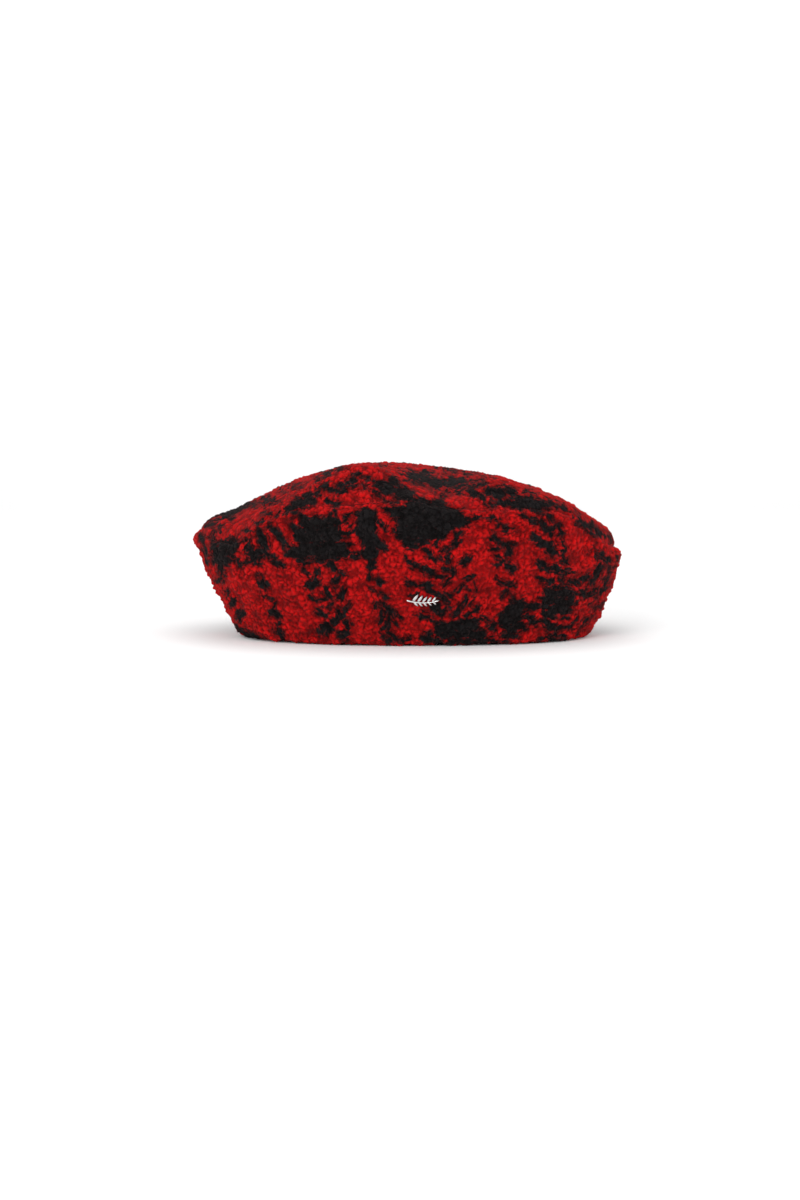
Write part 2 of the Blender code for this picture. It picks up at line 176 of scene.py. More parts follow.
# Colours, in linear light
# The first two reds: the pile's red painted dark down between the tufts (painted shade) and bright on their
# tips (painted light)
RED_IN_PAINTED_SHADE, RED_IN_PAINTED_LIGHT = (0.060, 0.0006, 0.0008, 1), (0.52, 0.0054, 0.0058, 1)
RED_DULL, RED_FRESH = (0.23, 0.0024, 0.0028, 1), (0.53, 0.0070, 0.0075, 1)
RED_WITH_BLACK = (0.036, 0.0013, 0.0016, 1)
# The pile's black, painted darker down between the tufts (painted shade) and lighter on their tips (painted
# light)
BLACK_IN_PAINTED_SHADE, BLACK_IN_PAINTED_LIGHT = (0.0012, 0.0011, 0.0012, 1), (0.0085, 0.0078, 0.0082, 1)
BACK_RED, BACK_BLACK = (0.17, 0.006, 0.009, 1), (0.020, 0.014, 0.015, 1)
# The back's colour in the grooves between its loops: painted shade
BACK_IN_PAINTED_SHADE = (0.035, 0.003, 0.004, 1)
HAIR_RED, HAIR_BLACK = (0.34, 0.006, 0.008, 1), (0.010, 0.009, 0.010, 1)
HAIR_PALE = (0.42, 0.07, 0.07, 1)
# The sprig's metal: painted shade low in its relief, painted highlight on its raised parts
METAL_LOW_PAINTED_SHADE, METAL_RAISED_PAINTED_HIGHLIGHT = (0.030, 0.028, 0.028, 1), (0.78, 0.77, 0.76, 1)
FLOOR_PALE, FLOOR_PALER = (0.93, 0.93, 0.93, 1), (0.96, 0.96, 0.96, 1)

LIGHTS = [
    # name, place, size, power
    ("key", (-0.8, -1.9, 0.9), 1.0, 21),
    ("fill", (1.2, -1.8, 0.7), 1.0, 8),
    ("top", (0.1, 0.3, 1.9), 1.4, 5),
]
SKY_STRENGTH = 0.92
STAGE_HALF_WIDTH = 4.0
STAGE_FRONT = -3.0
STAGE_BACK = 1.6
STAGE_RADIUS = 0.8
STAGE_HEIGHT = 3.2

# The check's black strokes on the side and on the crown, noted as it looks from the front, in
# millimetres right of the hat's middle and up from its foot: from_x, from_y, to_x, to_y, width.
SIDE_STROKES = [
    (-138,73,-133,54,3), (-130,71,-129,55,5), (-124,63,-118,65,11), (-128,59,-121,55,7),
    (-118,70,-114,70,3), (-125,54,-124,45,4), (-126,41,-124,43,4), (-120,35,-120,31,3),
    (-118,25,-116,29,3), (-113,17,-111,20,4), (-114,11,-111,7,3), (-111,8,-100,3,5), (-108,4,-97,1,4),
    (-105,70,-108,63,3), (-105,62,-102,57,7), (-99,73,-94,64,6), (-104,59,-97,61,8), (-102,54,-98,53,3),
    (-88,75,-86,72,6), (-86,71,-80,65,5), (-80,65,-77,63,4), (-93,59,-88,57,4), (-90,55,-83,52,4),
    (-110,53,-104,55,3), (-121,61,-117,58,3), (-114,55,-112,51,3), (-112,67,-108,69,3),
    (-100,75,-92,78,2), (-100,46,-97,44,2), (-98,42,-96,37,5), (-94,40,-93,38,3), (-95,31,-90,29,3),
    (-90,21,-86,19,5), (-90,22,-88,25,3), (-87,10,-84,5,4), (-85,14,-86,11,2), (-68,80,-48,81,9),
    (-70,72,-49,72,12), (-69,62,-44,62,12), (-78,60,-68,60,8), (-76,77,-72,71,5), (-49,87,-46,83,4),
    (-68,53,-64,54,4), (-72,55,-45,57,4), (-46,83,-46,75,4), (-65,38,-61,40,6), (-60,47,-61,41,5),
    (-70,48,-66,46,3), (-52,53,-49,50,5), (-45,47,-42,46,4), (-49,41,-46,45,5), (-49,38,-48,37,3),
    (-54,35,-51,31,5), (-58,29,-55,29,3), (-64,30,-61,29,3), (-45,31,-42,35,5), (-53,23,-51,26,3),
    (-58,21,-55,19,6), (-46,21,-44,18,5), (-50,14,-46,16,5), (-55,11,-53,9,7), (-58,8,-57,6,4),
    (-41,14,-39,12,5), (-45,6,-40,7,5), (-44,2,-41,1,3), (-42,21,-39,25,3), (-32,86,-24,86,4),
    (-30,82,-30,72,9), (-26,85,-25,60,11), (-21,81,-15,77,4), (-22,69,-16,63,7), (-32,59,-37,58,3),
    (-42,84,-37,86,3), (-45,80,-41,81,3), (-37,79,-34,83,2), (-41,73,-38,73,4), (-43,67,-39,65,3),
    (-37,73,-34,77,3), (-24,57,-24,53,5), (-26,51,-23,50,3), (-25,45,-24,42,3), (-20,43,-18,40,5),
    (-26,37,-22,36,3), (-18,32,-14,31,4), (-19,27,-22,24,3), (-16,26,-13,23,3), (-16,21,-18,15,4),
    (-12,21,-9,17,3), (-13,17,-14,10,3), (-16,9,-13,13,3), (-10,14,-7,11,3), (-12,6,-8,3,5),
    (-16,5,-12,1,4), (-5,2,0,2,4), (-8,21,-4,17,2), (2,91,22,91,9), (-8,87,32,86,9), (-2,81,34,81,11),
    (-4,74,22,74,11), (0,67,12,69,7), (2,65,7,65,5), (-13,89,-5,85,5), (-10,87,-2,82,5), (32,80,39,80,5),
    (35,84,43,83,2), (-8,75,-4,71,5), (20,75,30,77,4), (22,71,19,65,3), (32,72,33,65,4), (36,73,33,71,3),
    (12,62,14,59,5), (16,57,19,55,3), (27,61,30,64,3), (28,58,26,54,4), (30,65,36,68,3), (22,61,27,63,2),
    (-1,57,2,54,3), (2,53,7,51,4), (11,50,16,47,5), (16,45,22,44,4), (25,53,22,57,3), (36,53,40,56,5),
    (43,57,40,54,3), (30,50,30,46,4), (25,49,28,49,3), (0,41,6,38,3), (10,38,15,39,5), (15,35,20,33,4),
    (24,38,28,41,3), (26,45,24,42,2), (34,34,36,38,4), (40,43,44,45,4), (39,37,41,35,2), (45,35,44,39,2),
    (7,34,3,31,2), (22,30,27,27,4), (19,25,22,21,6), (15,24,19,21,4), (26,23,22,19,3), (37,25,39,29,4),
    (34,22,31,19,5), (28,23,32,25,3), (42,27,44,30,2), (25,33,29,31,3), (8,18,14,17,4), (16,15,20,13,4),
    (19,20,22,17,2), (23,10,44,11,9), (22,6,48,6,7), (36,14,45,14,7), (40,18,43,20,4), (12,6,15,7,3),
    (11,3,22,1,5), (28,1,52,1,5), (40,9,50,5,5), (45,22,48,25,3), (42,83,56,84,3), (59,82,61,77,3),
    (61,79,67,77,3), (57,71,61,68,5), (65,74,70,76,3), (56,63,60,62,3), (65,65,68,61,6), (69,67,71,65,3),
    (60,57,64,55,4), (58,53,61,52,3), (67,52,70,50,5), (66,49,69,47,3), (60,42,64,40,4), (67,39,72,38,4),
    (63,31,67,35,3), (68,33,71,31,3), (70,29,75,27,3), (70,24,76,27,5), (67,21,73,22,8), (65,15,73,17,11),
    (67,10,75,11,8), (64,5,74,5,5), (64,1,68,1,4), (58,13,56,11,5), (55,8,58,7,3), (50,17,54,15,3),
    (55,2,60,1,4), (76,85,80,83,3), (82,82,86,81,4), (88,81,92,78,4), (92,75,97,77,4), (95,74,96,72,3),
    (100,77,103,74,4), (100,71,102,73,3), (94,85,96,82,3), (84,71,88,68,5), (88,67,94,65,6),
    (94,63,98,60,6), (95,67,99,65,3), (104,67,106,63,3), (104,59,106,55,3), (102,62,106,61,2),
    (88,53,92,51,5), (92,50,98,50,5), (98,48,103,47,3), (103,54,106,53,3), (106,47,109,48,3),
    (87,43,92,41,3), (92,39,96,41,4), (98,37,106,37,4), (109,41,112,39,4), (102,42,103,39,3),
    (93,33,108,33,8), (92,29,108,27,8), (95,22,106,23,8), (92,19,97,18,5), (110,35,113,33,3),
    (112,27,108,25,3), (76,24,92,24,5), (82,26,92,23,3), (74,17,83,17,4), (82,14,90,14,4),
    (90,15,96,11,5), (98,11,104,9,3), (98,6,104,5,4), (88,3,102,2,3), (104,17,107,17,3), (103,8,108,11,2),
    (117,34,119,31,4), (117,43,120,45,4), (122,39,123,42,3), (121,32,125,35,4), (126,45,128,50,5),
    (126,62,127,57,2), (126,65,127,63,1), (130,58,134,55,5), (140,58,140,56,2), (133,46,135,50,3),
    (132,40,134,45,3), (129,33,132,37,3), (122,26,126,30,2), (124,22,128,27,1), (117,12,122,19,2),
    (112,7,116,11,2), (128,23,130,27,1), (110,13,114,15,2), (136,49,137,51,2), (113,42,115,39,2),
]
CROWN_STROKES = [
    (-132,81,-124,85,4), (-124,86,-112,91,7), (-113,91,-104,94,4), (-105,93,-88,93,2), (-97,97,-88,95,3),
    (-90,93,-86,95,3), (-84,101,-81,100,3), (-78,103,-72,104,2), (-72,106,-68,107,1), (-108,89,-104,90,1),
    (-136,79,-130,77,3), (-129,75,-125,75,3), (-126,79,-124,77,2), (-109,75,-106,75,3), (-96,86,-92,87,3),
    (-97,81,-100,79,2), (-88,85,-85,87,1), (-80,89,-73,91,6), (-74,93,-65,95,8), (-68,97,-60,101,5),
    (-65,93,-63,93,3), (-78,87,-74,87,3), (-72,86,-70,83,3), (-77,83,-74,85,2), (-58,111,-52,113,3),
    (-53,114,-42,117,3), (-61,109,-57,109,2), (-60,103,-54,105,3), (-53,95,-49,93,5), (-48,92,-45,93,3),
    (-51,102,-42,102,4), (-44,102,-40,107,4), (-42,107,-37,106,4), (-45,105,-35,108,5),
    (-37,111,-32,113,3), (-30,111,-26,109,3), (-29,106,-28,103,3), (-34,105,-30,106,2),
    (-22,106,-8,107,6), (-16,103,-2,101,8), (-8,106,3,99,5), (-5,99,5,95,7), (2,97,15,94,5),
    (12,93,23,90,4), (-22,101,-18,99,3), (-16,95,-5,93,1), (-20,119,-13,118,1), (-3,114,3,112,3),
    (3,112,12,111,6), (8,109,25,107,6), (22,106,34,107,7), (28,108,36,108,5), (32,103,36,101,3),
    (38,105,42,103,3), (42,102,45,99,5), (39,107,45,105,2), (-2,109,8,105,1), (16,102,20,100,2),
    (20,97,25,99,3), (-2,113,-5,115,1), (20,117,28,116,2), (28,115,45,113,2), (45,113,56,111,1),
    (47,106,51,106,4), (54,101,62,99,7), (60,102,67,103,4), (67,102,71,99,5), (47,99,50,97,4),
    (51,93,54,92,3), (56,93,63,94,5), (65,93,75,92,5), (74,97,82,97,4), (75,93,88,93,8), (82,89,90,88,4),
    (87,93,93,91,5), (68,96,75,95,2), (76,101,85,99,2), (89,95,95,94,3), (95,93,100,93,3),
    (99,91,104,90,3), (113,83,118,79,4), (118,79,125,76,5), (124,75,130,72,4), (108,87,112,83,1),
    (134,73,137,72,1), (132,71,136,68,2), (67,103,75,101,1),
]
# The same check, made by rule where the front view doesn't reach: dark warps as (middle, width) in
# each repeat, and one dark weft.
CHECK_REPEAT = (110.0, 68.0)
CHECK_WARPS = ((14.0, 24.0), (40.0, 14.0), (82.0, 44.0))
CHECK_WEFT_WIDTH = 33.0
CHECK_AROUND_BACK, CHECK_UP_BACK, CHECK_ON_CROWN = 126, 8, (12, 20)
CHART_ENDS = -0.012
SLANT_BANDS = 17
STROKE_SLANT = 0.6
STROKE_REPEAT = 8.5
STROKE_HALF_WIDTH = 1.6
# The fringe on every black edge
FRINGE_DEPTH = 0.85
FRINGE_WIDTH = 1.6
FRINGE_STRETCH = 5
OUTSIDE = -99.0

COARSER = 1


def curve_through(stations, values, q):
    """Monotone cubic curves through the stations: one curve, or one for each entry of q."""
    x = np.array(stations, float)
    y = np.array(values, float)
    y = y[:, None] if y.ndim == 1 else y
    q = np.clip(np.asarray(q, float), x[0], x[-1])
    h = np.diff(x)[:, None]
    slope = np.diff(y, axis=0) / h
    bend = np.zeros_like(y)
    bend[0], bend[-1] = slope[0], slope[-1]
    before, after = 2 * h[1:] + h[:-1], h[1:] + 2 * h[:-1]
    with np.errstate(divide="ignore", invalid="ignore"):
        mean = (before + after) / (before / slope[:-1] + after / slope[1:])
    bend[1:-1] = np.where(slope[:-1] * slope[1:] <= 0, 0.0, mean)
    i = np.clip(np.searchsorted(x, q) - 1, 0, len(h) - 1)
    c = np.arange(len(q)) if y.shape[1] > 1 else 0
    step = h[i, 0]
    t = (q - x[i]) / step
    rise = y[i, c] * (1 + 2 * t) * (1 - t) ** 2 + y[i + 1, c] * t**2 * (3 - 2 * t)
    return rise + step * (bend[i, c] * t * (1 - t) ** 2 + bend[i + 1, c] * t**2 * (t - 1))


ACROSS, *HEIGHT_SHARES = zip(*CROWN_SECTIONS)
UP, *OUT_SHARES = zip(*SIDE_PROFILE)


def crown_height(column, across):
    """The crown's height over x, in one column of the sections."""
    return CROWN_HEIGHT * curve_through(ACROSS, HEIGHT_SHARES[column], across)


def signed_power(value, power):
    return np.sign(value) * np.abs(value) ** power


def plan_unit(angle):
    """The hat's plan at unit size: a squarish oval."""
    power = 2 / PLAN_SQUARENESS
    return signed_power(np.cos(angle), power), signed_power(np.sin(angle), power)


def unit(vectors):
    """The same directions, at length one."""
    return vectors / np.maximum(np.linalg.norm(vectors, axis=-1, keepdims=True), 1e-12)


def outward(angle):
    c, s = plan_unit(angle)
    power = PLAN_SQUARENESS - 1
    way = np.stack([signed_power(c, power) / LIP_HALF[0], signed_power(s, power) / LIP_HALF[1]], -1)
    return np.concatenate([unit(way), np.zeros_like(way[..., :1])], -1)


def by_ends(across, middle, ends):
    """A value that changes from the hat's middle to its left and right ends."""
    return middle + (ends - middle) * across**2


def seam_height(angle):
    across, along = plan_unit(angle)
    return np.where(along > 0, crown_height(4, across), crown_height(0, across))


def seam_point(angle):
    across, along = plan_unit(angle)
    return np.stack([SEAM_HALF[0] * across, SEAM_HALF[1] * along, seam_height(angle)], -1)


def lip_point(angle):
    across, along = plan_unit(angle)
    drop = by_ends(across, LIP_DROP_MIDDLE, LIP_DROP_ENDS)
    return np.stack([LIP_HALF[0] * across, LIP_HALF[1] * along, seam_height(angle) - drop], -1)


def rim_point(angle):
    across, along = plan_unit(angle)
    x = RIM_TO_RIGHT + RIM_WIDTH / 2 * across
    return np.stack([x, RIM_DEPTH / 2 * along - RIM_TO_FRONT, np.zeros_like(x)], -1)


def side_point(angle, up):
    """The side's outer face, from the rim at up = 0 to the lip at up = 1."""
    up = np.broadcast_to(np.asarray(up, float), angle.shape)
    rim, lip = rim_point(angle), lip_point(angle)
    across, _ = plan_unit(angle)
    left, middle, right = (curve_through(UP, column, up) for column in OUT_SHARES)
    out = middle + (np.where(across < 0, left, right) - middle) * np.abs(across) ** 3
    point = rim + (lip - rim) * out[..., None]
    point[..., 2] = lip[..., 2] * up
    return point


def crown_field(x, y):
    """The crown's height over plan points, before its edge rounds over."""
    across = np.clip(x / SEAM_HALF[0], -1, 1)
    reach = np.maximum(1 - np.abs(across) ** PLAN_SQUARENESS, 1e-9) ** (1 / PLAN_SQUARENESS)
    edge = by_ends(across, CROWN_EDGE_MIDDLE, CROWN_EDGE_ENDS)
    heights = np.stack([crown_height(i, across) for i in range(5)])
    heights[0] += edge
    heights[4] += edge
    stations = (-1, -SHOULDER_FRONT_SHARE, 0, SHOULDER_BACK_SHARE, 1)
    return curve_through(stations, heights, y / (reach * SEAM_HALF[1]))


def wave_noise(points, wavelength, seed):
    """Smooth noise of about unit size: waves in random directions and phases, of about one wavelength."""
    draw = np.random.default_rng(seed)
    way = unit(draw.normal(size=(WAVES_IN_NOISE, 3)))
    way *= 2 * math.pi / wavelength * draw.uniform(0.6, 1.5, (WAVES_IN_NOISE, 1))
    phase = draw.uniform(0, 2 * math.pi, WAVES_IN_NOISE)
    return np.cos(points @ way.T + phase).sum(1) / math.sqrt(WAVES_IN_NOISE / 2)


def layered_noise(points, layers, seed, step=1):
    return sum(size * wave_noise(points, wave, seed + step * i) for i, (wave, size) in enumerate(layers))


def layered_shift(points, layers, seed):
    """Layers of noise in each of the three directions."""
    return np.stack([layered_noise(points, layers, seed + axis, 3) for axis in range(3)], 1)


def smoothstep(low, high, value):
    t = np.clip((value - low) / (high - low), 0, 1)
    return t * t * (3 - 2 * t)


def seen_from_front(points):
    """Where points appear from the eye, in millimetres right of the hat's middle and up from its foot."""
    x, y, high = points[:, 0], points[:, 1], points[:, 2] - EYE_TARGET_HEIGHT
    cosine, sine = math.cos(EYE_ELEVATION), math.sin(EYE_ELEVATION)
    scale = 1000 * EYE_DISTANCE / (EYE_DISTANCE + y * cosine - high * sine)
    return x * scale, (high * cosine + y * sine) * scale + FOOT_BELOW_TARGET


def fringed(inside, along, across):
    """An edge with a fringe of fibres along a direction, from millimetres inside it."""
    places = np.stack([along / FRINGE_STRETCH, across, along * 0], 1)
    return inside + FRINGE_DEPTH * wave_noise(places, FRINGE_WIDTH, 5)


def strokes_over(u, v, strokes):
    """How far inside the nearest stroke each place is, in millimetres, with a fringe along the stroke."""
    inside = np.full(len(u), OUTSIDE)
    along, across = np.zeros(len(u)), np.zeros(len(u))
    for x0, y0, x1, y1, width in strokes:
        dx, dy = x1 - x0, y1 - y0
        length = max(math.hypot(dx, dy), 0.001)
        a = ((u - x0) * dx + (v - y0) * dy) / length
        b = ((v - y0) * dx - (u - x0) * dy) / length
        within = width / 2 - np.hypot(a - np.clip(a, 0, length), b)
        nearer = within > inside
        inside = np.where(nearer, within, inside)
        # Each stroke takes its fringe from a place of its own in the noise.
        along = np.where(nearer, a + 7 * x0, along)
        across = np.where(nearer, b + 3 * y0, across)
    return fringed(inside, along, across)


def check(u, v):
    """The large check where the chart doesn't reach, in millimetres along and across the cloth: black where
    dark warp and dark weft cross, broken slanting strokes where only one of them is dark."""
    warp = np.full(len(u), OUTSIDE)
    for middle, width in CHECK_WARPS:
        away = np.abs((u - middle + CHECK_REPEAT[0] / 2) % CHECK_REPEAT[0] - CHECK_REPEAT[0] / 2)
        warp = np.maximum(warp, width / 2 - away)
    weft = CHECK_WEFT_WIDTH / 2 - np.abs(v % CHECK_REPEAT[1] - CHECK_REPEAT[1] / 2)
    slant = np.where((u // SLANT_BANDS) % 2 > 0, STROKE_SLANT, -STROKE_SLANT)
    broken = 1.5 * wave_noise(np.stack([u, v, u * 0], 1), 12.0, 6)
    stroke = STROKE_HALF_WIDTH - np.abs((v + slant * u) % STROKE_REPEAT - STROKE_REPEAT / 2) + broken
    one = np.minimum(np.maximum(warp, weft), stroke)
    return fringed(np.maximum(np.minimum(warp, weft), one), u - slant * v, v + slant * u)


def turns(sides, first=0.0):
    """The angles of a ring's corners."""
    return [2 * math.pi * (corner + first) / sides for corner in range(sides)]


def grid_faces(rows, columns, closed_rows, closed_columns):
    """Quads over a grid of rows by columns, each way open or closed on itself."""
    r = np.arange(rows if closed_rows else rows - 1)
    c = np.arange(columns if closed_columns else columns - 1)
    r, c = (a.ravel() for a in np.meshgrid(r, c, indexing="ij"))
    r1, c1 = (r + 1) % rows, (c + 1) % columns
    return np.stack([r * columns + c, r * columns + c1, r1 * columns + c1, r1 * columns + c], 1)


def grid_normals(points, faces):
    """A normal for each vertex of a quad mesh."""
    a, b, c, d = (points[faces[:, i]] for i in range(4))
    face = np.cross(c - a, d - b)
    normals = np.zeros_like(points)
    for i in range(4):
        np.add.at(normals, faces[:, i], face)
    return unit(normals)


def tree_of(places):
    tree = kdtree.KDTree(len(places))
    for i, place in enumerate(places):
        tree.insert(place, i)
    tree.balance()
    return tree


def scatter(cloths, spacing, seed):
    """Scattered places over the pile of all the cloths, none nearer to another than the spacing."""
    draw = np.random.default_rng(seed)
    tries = []
    for cloth in cloths:
        quads = cloth.quads[(cloth.pile[cloth.quads] > 0.05).all(1)]
        a, b, c, d = (cloth.points[quads[:, i]] for i in range(4))
        area = np.linalg.norm(np.cross(c - a, d - b), axis=1) / 2
        total = int(area.sum() * 1.5 / spacing**2)
        n = draw.choice(len(quads), total, p=area / area.sum())
        s, t = draw.random((2, total, 1))
        tries.append((a[n] * (1 - s) + b[n] * s) * (1 - t) + (d[n] * (1 - s) + c[n] * s) * t)
    tries = draw.permutation(np.concatenate(tries))
    tree = tree_of(tries)
    free = np.ones(len(tries), bool)
    kept = []
    for i, place in enumerate(tries):
        if free[i]:
            kept.append(i)
            for _, j, _ in tree.find_range(place, spacing):
                free[j] = False
    return tries[kept]


def nearest_two(points, places):
    """The nearest two places to each point: their numbers and distances."""
    tree = tree_of(places)
    number = np.zeros((len(points), 2), int)
    away = np.zeros((len(points), 2))
    for i, point in enumerate(points):
        for k, (_, j, distance) in enumerate(tree.find_n(point, 2)):
            number[i, k], away[i, k] = j, distance
    return number, away


def new_mesh_object(name, points, faces, materials):
    mesh = bpy.data.meshes.new(name)
    mesh.from_pydata(points.tolist(), [], faces)
    for material in materials:
        mesh.materials.append(material)
    mesh.shade_smooth()
    mesh.update()
    made = bpy.data.objects.new(name, mesh)
    bpy.context.scene.collection.objects.link(made)
    return made


def add_values(mesh, **values):
    for name, value in values.items():
        attribute = mesh.attributes.new(name, "FLOAT", "POINT")
        attribute.data.foreach_set("value", np.asarray(value, np.float32))


class Cloth:
    """One cloth piece, first laid out smooth and then given its pile."""

    def __init__(self, name, dye_at):
        self.name = name
        self.dye_at = dye_at
        self.points = self.pile = self.lean = self.way = None
        self.quads = self.faces = self.back = self.sewn = None

    def raise_pile(self, places, clumps, seed):
        """Raises curly tufts round the places, in clumps with cracks between them. All the cloths share
        both lists, so that tufts cross the seams."""
        points, at_seam = self.points, self.lean[:, None]
        normals = unit(grid_normals(points, self.quads) * (1 - at_seam) + self.way * at_seam)
        draw = np.random.default_rng(seed)
        tall = draw.uniform(*TUFT_SIZES, len(places))
        shade = draw.random(len(places))
        wander = draw.normal(0, 0.25, len(places))
        bent = layered_shift(points, TUFT_BENDS, seed + 10)
        number, away = nearest_two(points + bent, places)
        own, (first, second) = number[:, 0], away.T
        apart = (second - first) / np.maximum(second + first, 1e-9)
        dome = np.sin(np.clip(apart * 1.5, 0, 1) * math.pi / 2)
        curl = layered_noise(points, TUFT_CURLS, seed + 20)
        clump = layered_noise(points, CLUMP_HEIGHTS, seed + 30)
        high = TUFT_FOOT + TUFT_RISE * dome * tall[own] + curl + clump * (0.3 + dome)
        high = np.clip(high, 0, TUFT_HIGHEST)
        first, second = nearest_two(points + 1.5 * bent, clumps)[1].T
        crack = 1 - smoothstep(0.0, CRACK_WIDTH, second - first)
        high *= 1 - CRACK_DEPTH * crack * smoothstep(-0.8, 0.6, wave_noise(points, 0.021, seed + 33))
        sway = layered_noise(points, CLOTH_SWAY, seed + 31)
        rise = PILE_DEPTH * (high - 1) + PILE_ABOVE_SOLID + sway
        raised = points + normals * (rise * self.pile)[:, None]
        lumpy = smoothstep(-0.5, 1.4, wave_noise(points, 0.0085, seed + 32)) * HEM_LUMP_HEIGHT
        low = np.clip(1 - points[:, 2] / HEM_LUMPS_UP_TO, 0, 1) * (self.pile > 0)
        raised[:, 2] = np.maximum(raised[:, 2] + lumpy * low**1.5, 0.0)
        streak = layered_shift(points, DYE_SHIFTS, seed + 40)
        self.dye = np.clip(self.dye_at(raised + streak) + wander[own], -4, 4)
        self.high, self.shade = high, shade[own]
        self.raised, self.normals = raised, normals

    def make(self, materials):
        piece = new_mesh_object(self.name, self.raised, self.faces, materials)
        piece.data.polygons.foreach_set("material_index", np.array(self.back, np.int32))
        ends = np.zeros(2 * len(piece.data.edges), np.int32)
        piece.data.edges.foreach_get("vertices", ends)
        sharp = piece.data.attributes.new("sharp_edge", "BOOLEAN", "EDGE")
        sharp.data.foreach_set("value", self.sewn[ends.reshape(-1, 2)].all(1))
        add_values(piece.data, dye=self.dye, high=self.high, shade=self.shade)
        return piece

    def make_fibres(self, name, count, material, seed):
        """Short curled hairs that stand out of the pile, each a thin closed tube with three sides."""
        draw = np.random.default_rng(seed)
        hairy = np.flatnonzero((self.pile > 0.6) & (self.points[:, 2] > 0.0015))
        root = draw.choice(hairy, count)
        normal = self.normals[root]
        aside = unit(np.cross(normal, draw.normal(size=(count, 3))))
        way = unit(aside + normal * draw.uniform(0.05, 0.8, (count, 1)))
        axis = unit(np.cross(normal, way) + draw.normal(0, 0.45, (count, 3)))
        bend = draw.uniform(0.3, 1.1, (count, 1))
        length = draw.uniform(*HAIR_LENGTH, (count, 1))
        length = length * np.where(draw.random((count, 1)) < LONG_HAIRS, LONG_HAIR, 1.0)
        radius = draw.uniform(*HAIR_RADIUS, (count, 1))
        at = self.raised[root] - normal * HAIR_ROOT
        rings = []
        for k in range(HAIR_STEPS + 1):
            side = unit(np.cross(way, axis))
            other = np.cross(way, side)
            thin = radius * (1 - 0.7 * k / HAIR_STEPS)
            rings += [at + side * thin * math.cos(t) + other * thin * math.sin(t) for t in turns(3)]
            at = at + way * length / HAIR_STEPS
            along = axis * (axis * way).sum(1, keepdims=True)
            way = way * np.cos(bend) + np.cross(axis, way) * np.sin(bend) + along * (1 - np.cos(bend))
        points = np.stack(rings, 1)
        each = points.shape[1]
        points[..., 2] = np.maximum(points[..., 2], 0.0003)
        starts = np.arange(count)[:, None, None] * each
        sides = starts + grid_faces(HAIR_STEPS + 1, 3, False, True)
        ends = starts + np.array([(2, 1, 0), (each - 3, each - 2, each - 1)])
        faces = sides.reshape(-1, 4).tolist() + ends.reshape(-1, 3).tolist()
        dye = smoothstep(-0.8, 0.8, self.dye[root] + draw.normal(0, 0.5, count))
        piece = new_mesh_object(name, points.reshape(-1, 3), faces, [material])
        add_values(piece.data, dye=np.repeat(dye, each), shade=np.repeat(draw.random(count) ** 2, each))
        return piece


def seam_way(out):
    """The way out of the corner where the crown stands on the sides' lip."""
    return unit(out + np.array([0, 0, SEAM_WAY_UP]))


def seam_fill(angle):
    """How far the pile fills that corner: to a straight line from the lip to the top of the crown's edge in
    the middle, and less at the ends, where a step shows."""
    across, _ = plan_unit(angle)
    out = outward(angle)
    seam, lip = seam_point(angle), lip_point(angle)
    edge = by_ends(across, CROWN_EDGE_MIDDLE, CROWN_EDGE_ENDS)
    top = seam - out * (PIECE_GAP + edge)[:, None]
    ledge, wall = ((lip - seam) * out).sum(1), PIECE_GAP + edge
    rise = crown_field(top[:, 0], top[:, 1]) - lip[:, 2]
    depth = lip[:, 2] + rise * ledge / (ledge + wall) - seam[:, 2]
    depth *= (ledge + wall) / np.hypot(ledge + wall, rise)
    return np.maximum(depth, 0) * by_ends(across, SEAM_FILL_MIDDLE, SEAM_FILL_ENDS)


def end_caps(rows, columns, outer_rows, points):
    """Closes both ends of a panel, between its outer rows and its inner ones, as ladders of triangles."""
    caps = []
    for column, turned in ((0, True), (columns - 1, False)):
        outer, inner = 0, rows - 1
        while outer < outer_rows - 1 or inner > outer_rows:
            o, i = outer * columns + column, inner * columns + column
            o_next = points[o + columns][2] if outer < outer_rows - 1 else math.inf
            i_next = points[i - columns][2] if inner > outer_rows else math.inf
            if o_next <= i_next:
                caps.append((o, i, o + columns))
                outer += 1
            else:
                caps.append((o, i, i - columns))
                inner -= 1
            if turned:
                caps[-1] = caps[-1][::-1]
    return caps


def side_seam_angles():
    right = -math.asin((SIDE_SEAM_TO_FRONT / LIP_HALF[1]) ** (PLAN_SQUARENESS / 2))
    return right, -math.pi - right


def even_angles(first, last, count):
    """Angles whose places are evenly spaced along the side, a little above half its height."""
    fine = np.linspace(first, last, 2000)
    middle = side_point(fine, 0.6)
    along = np.concatenate([[0], np.cumsum(np.linalg.norm(np.diff(middle, axis=0), axis=1))])
    return np.interp(np.linspace(0, along[-1], count), along, fine)


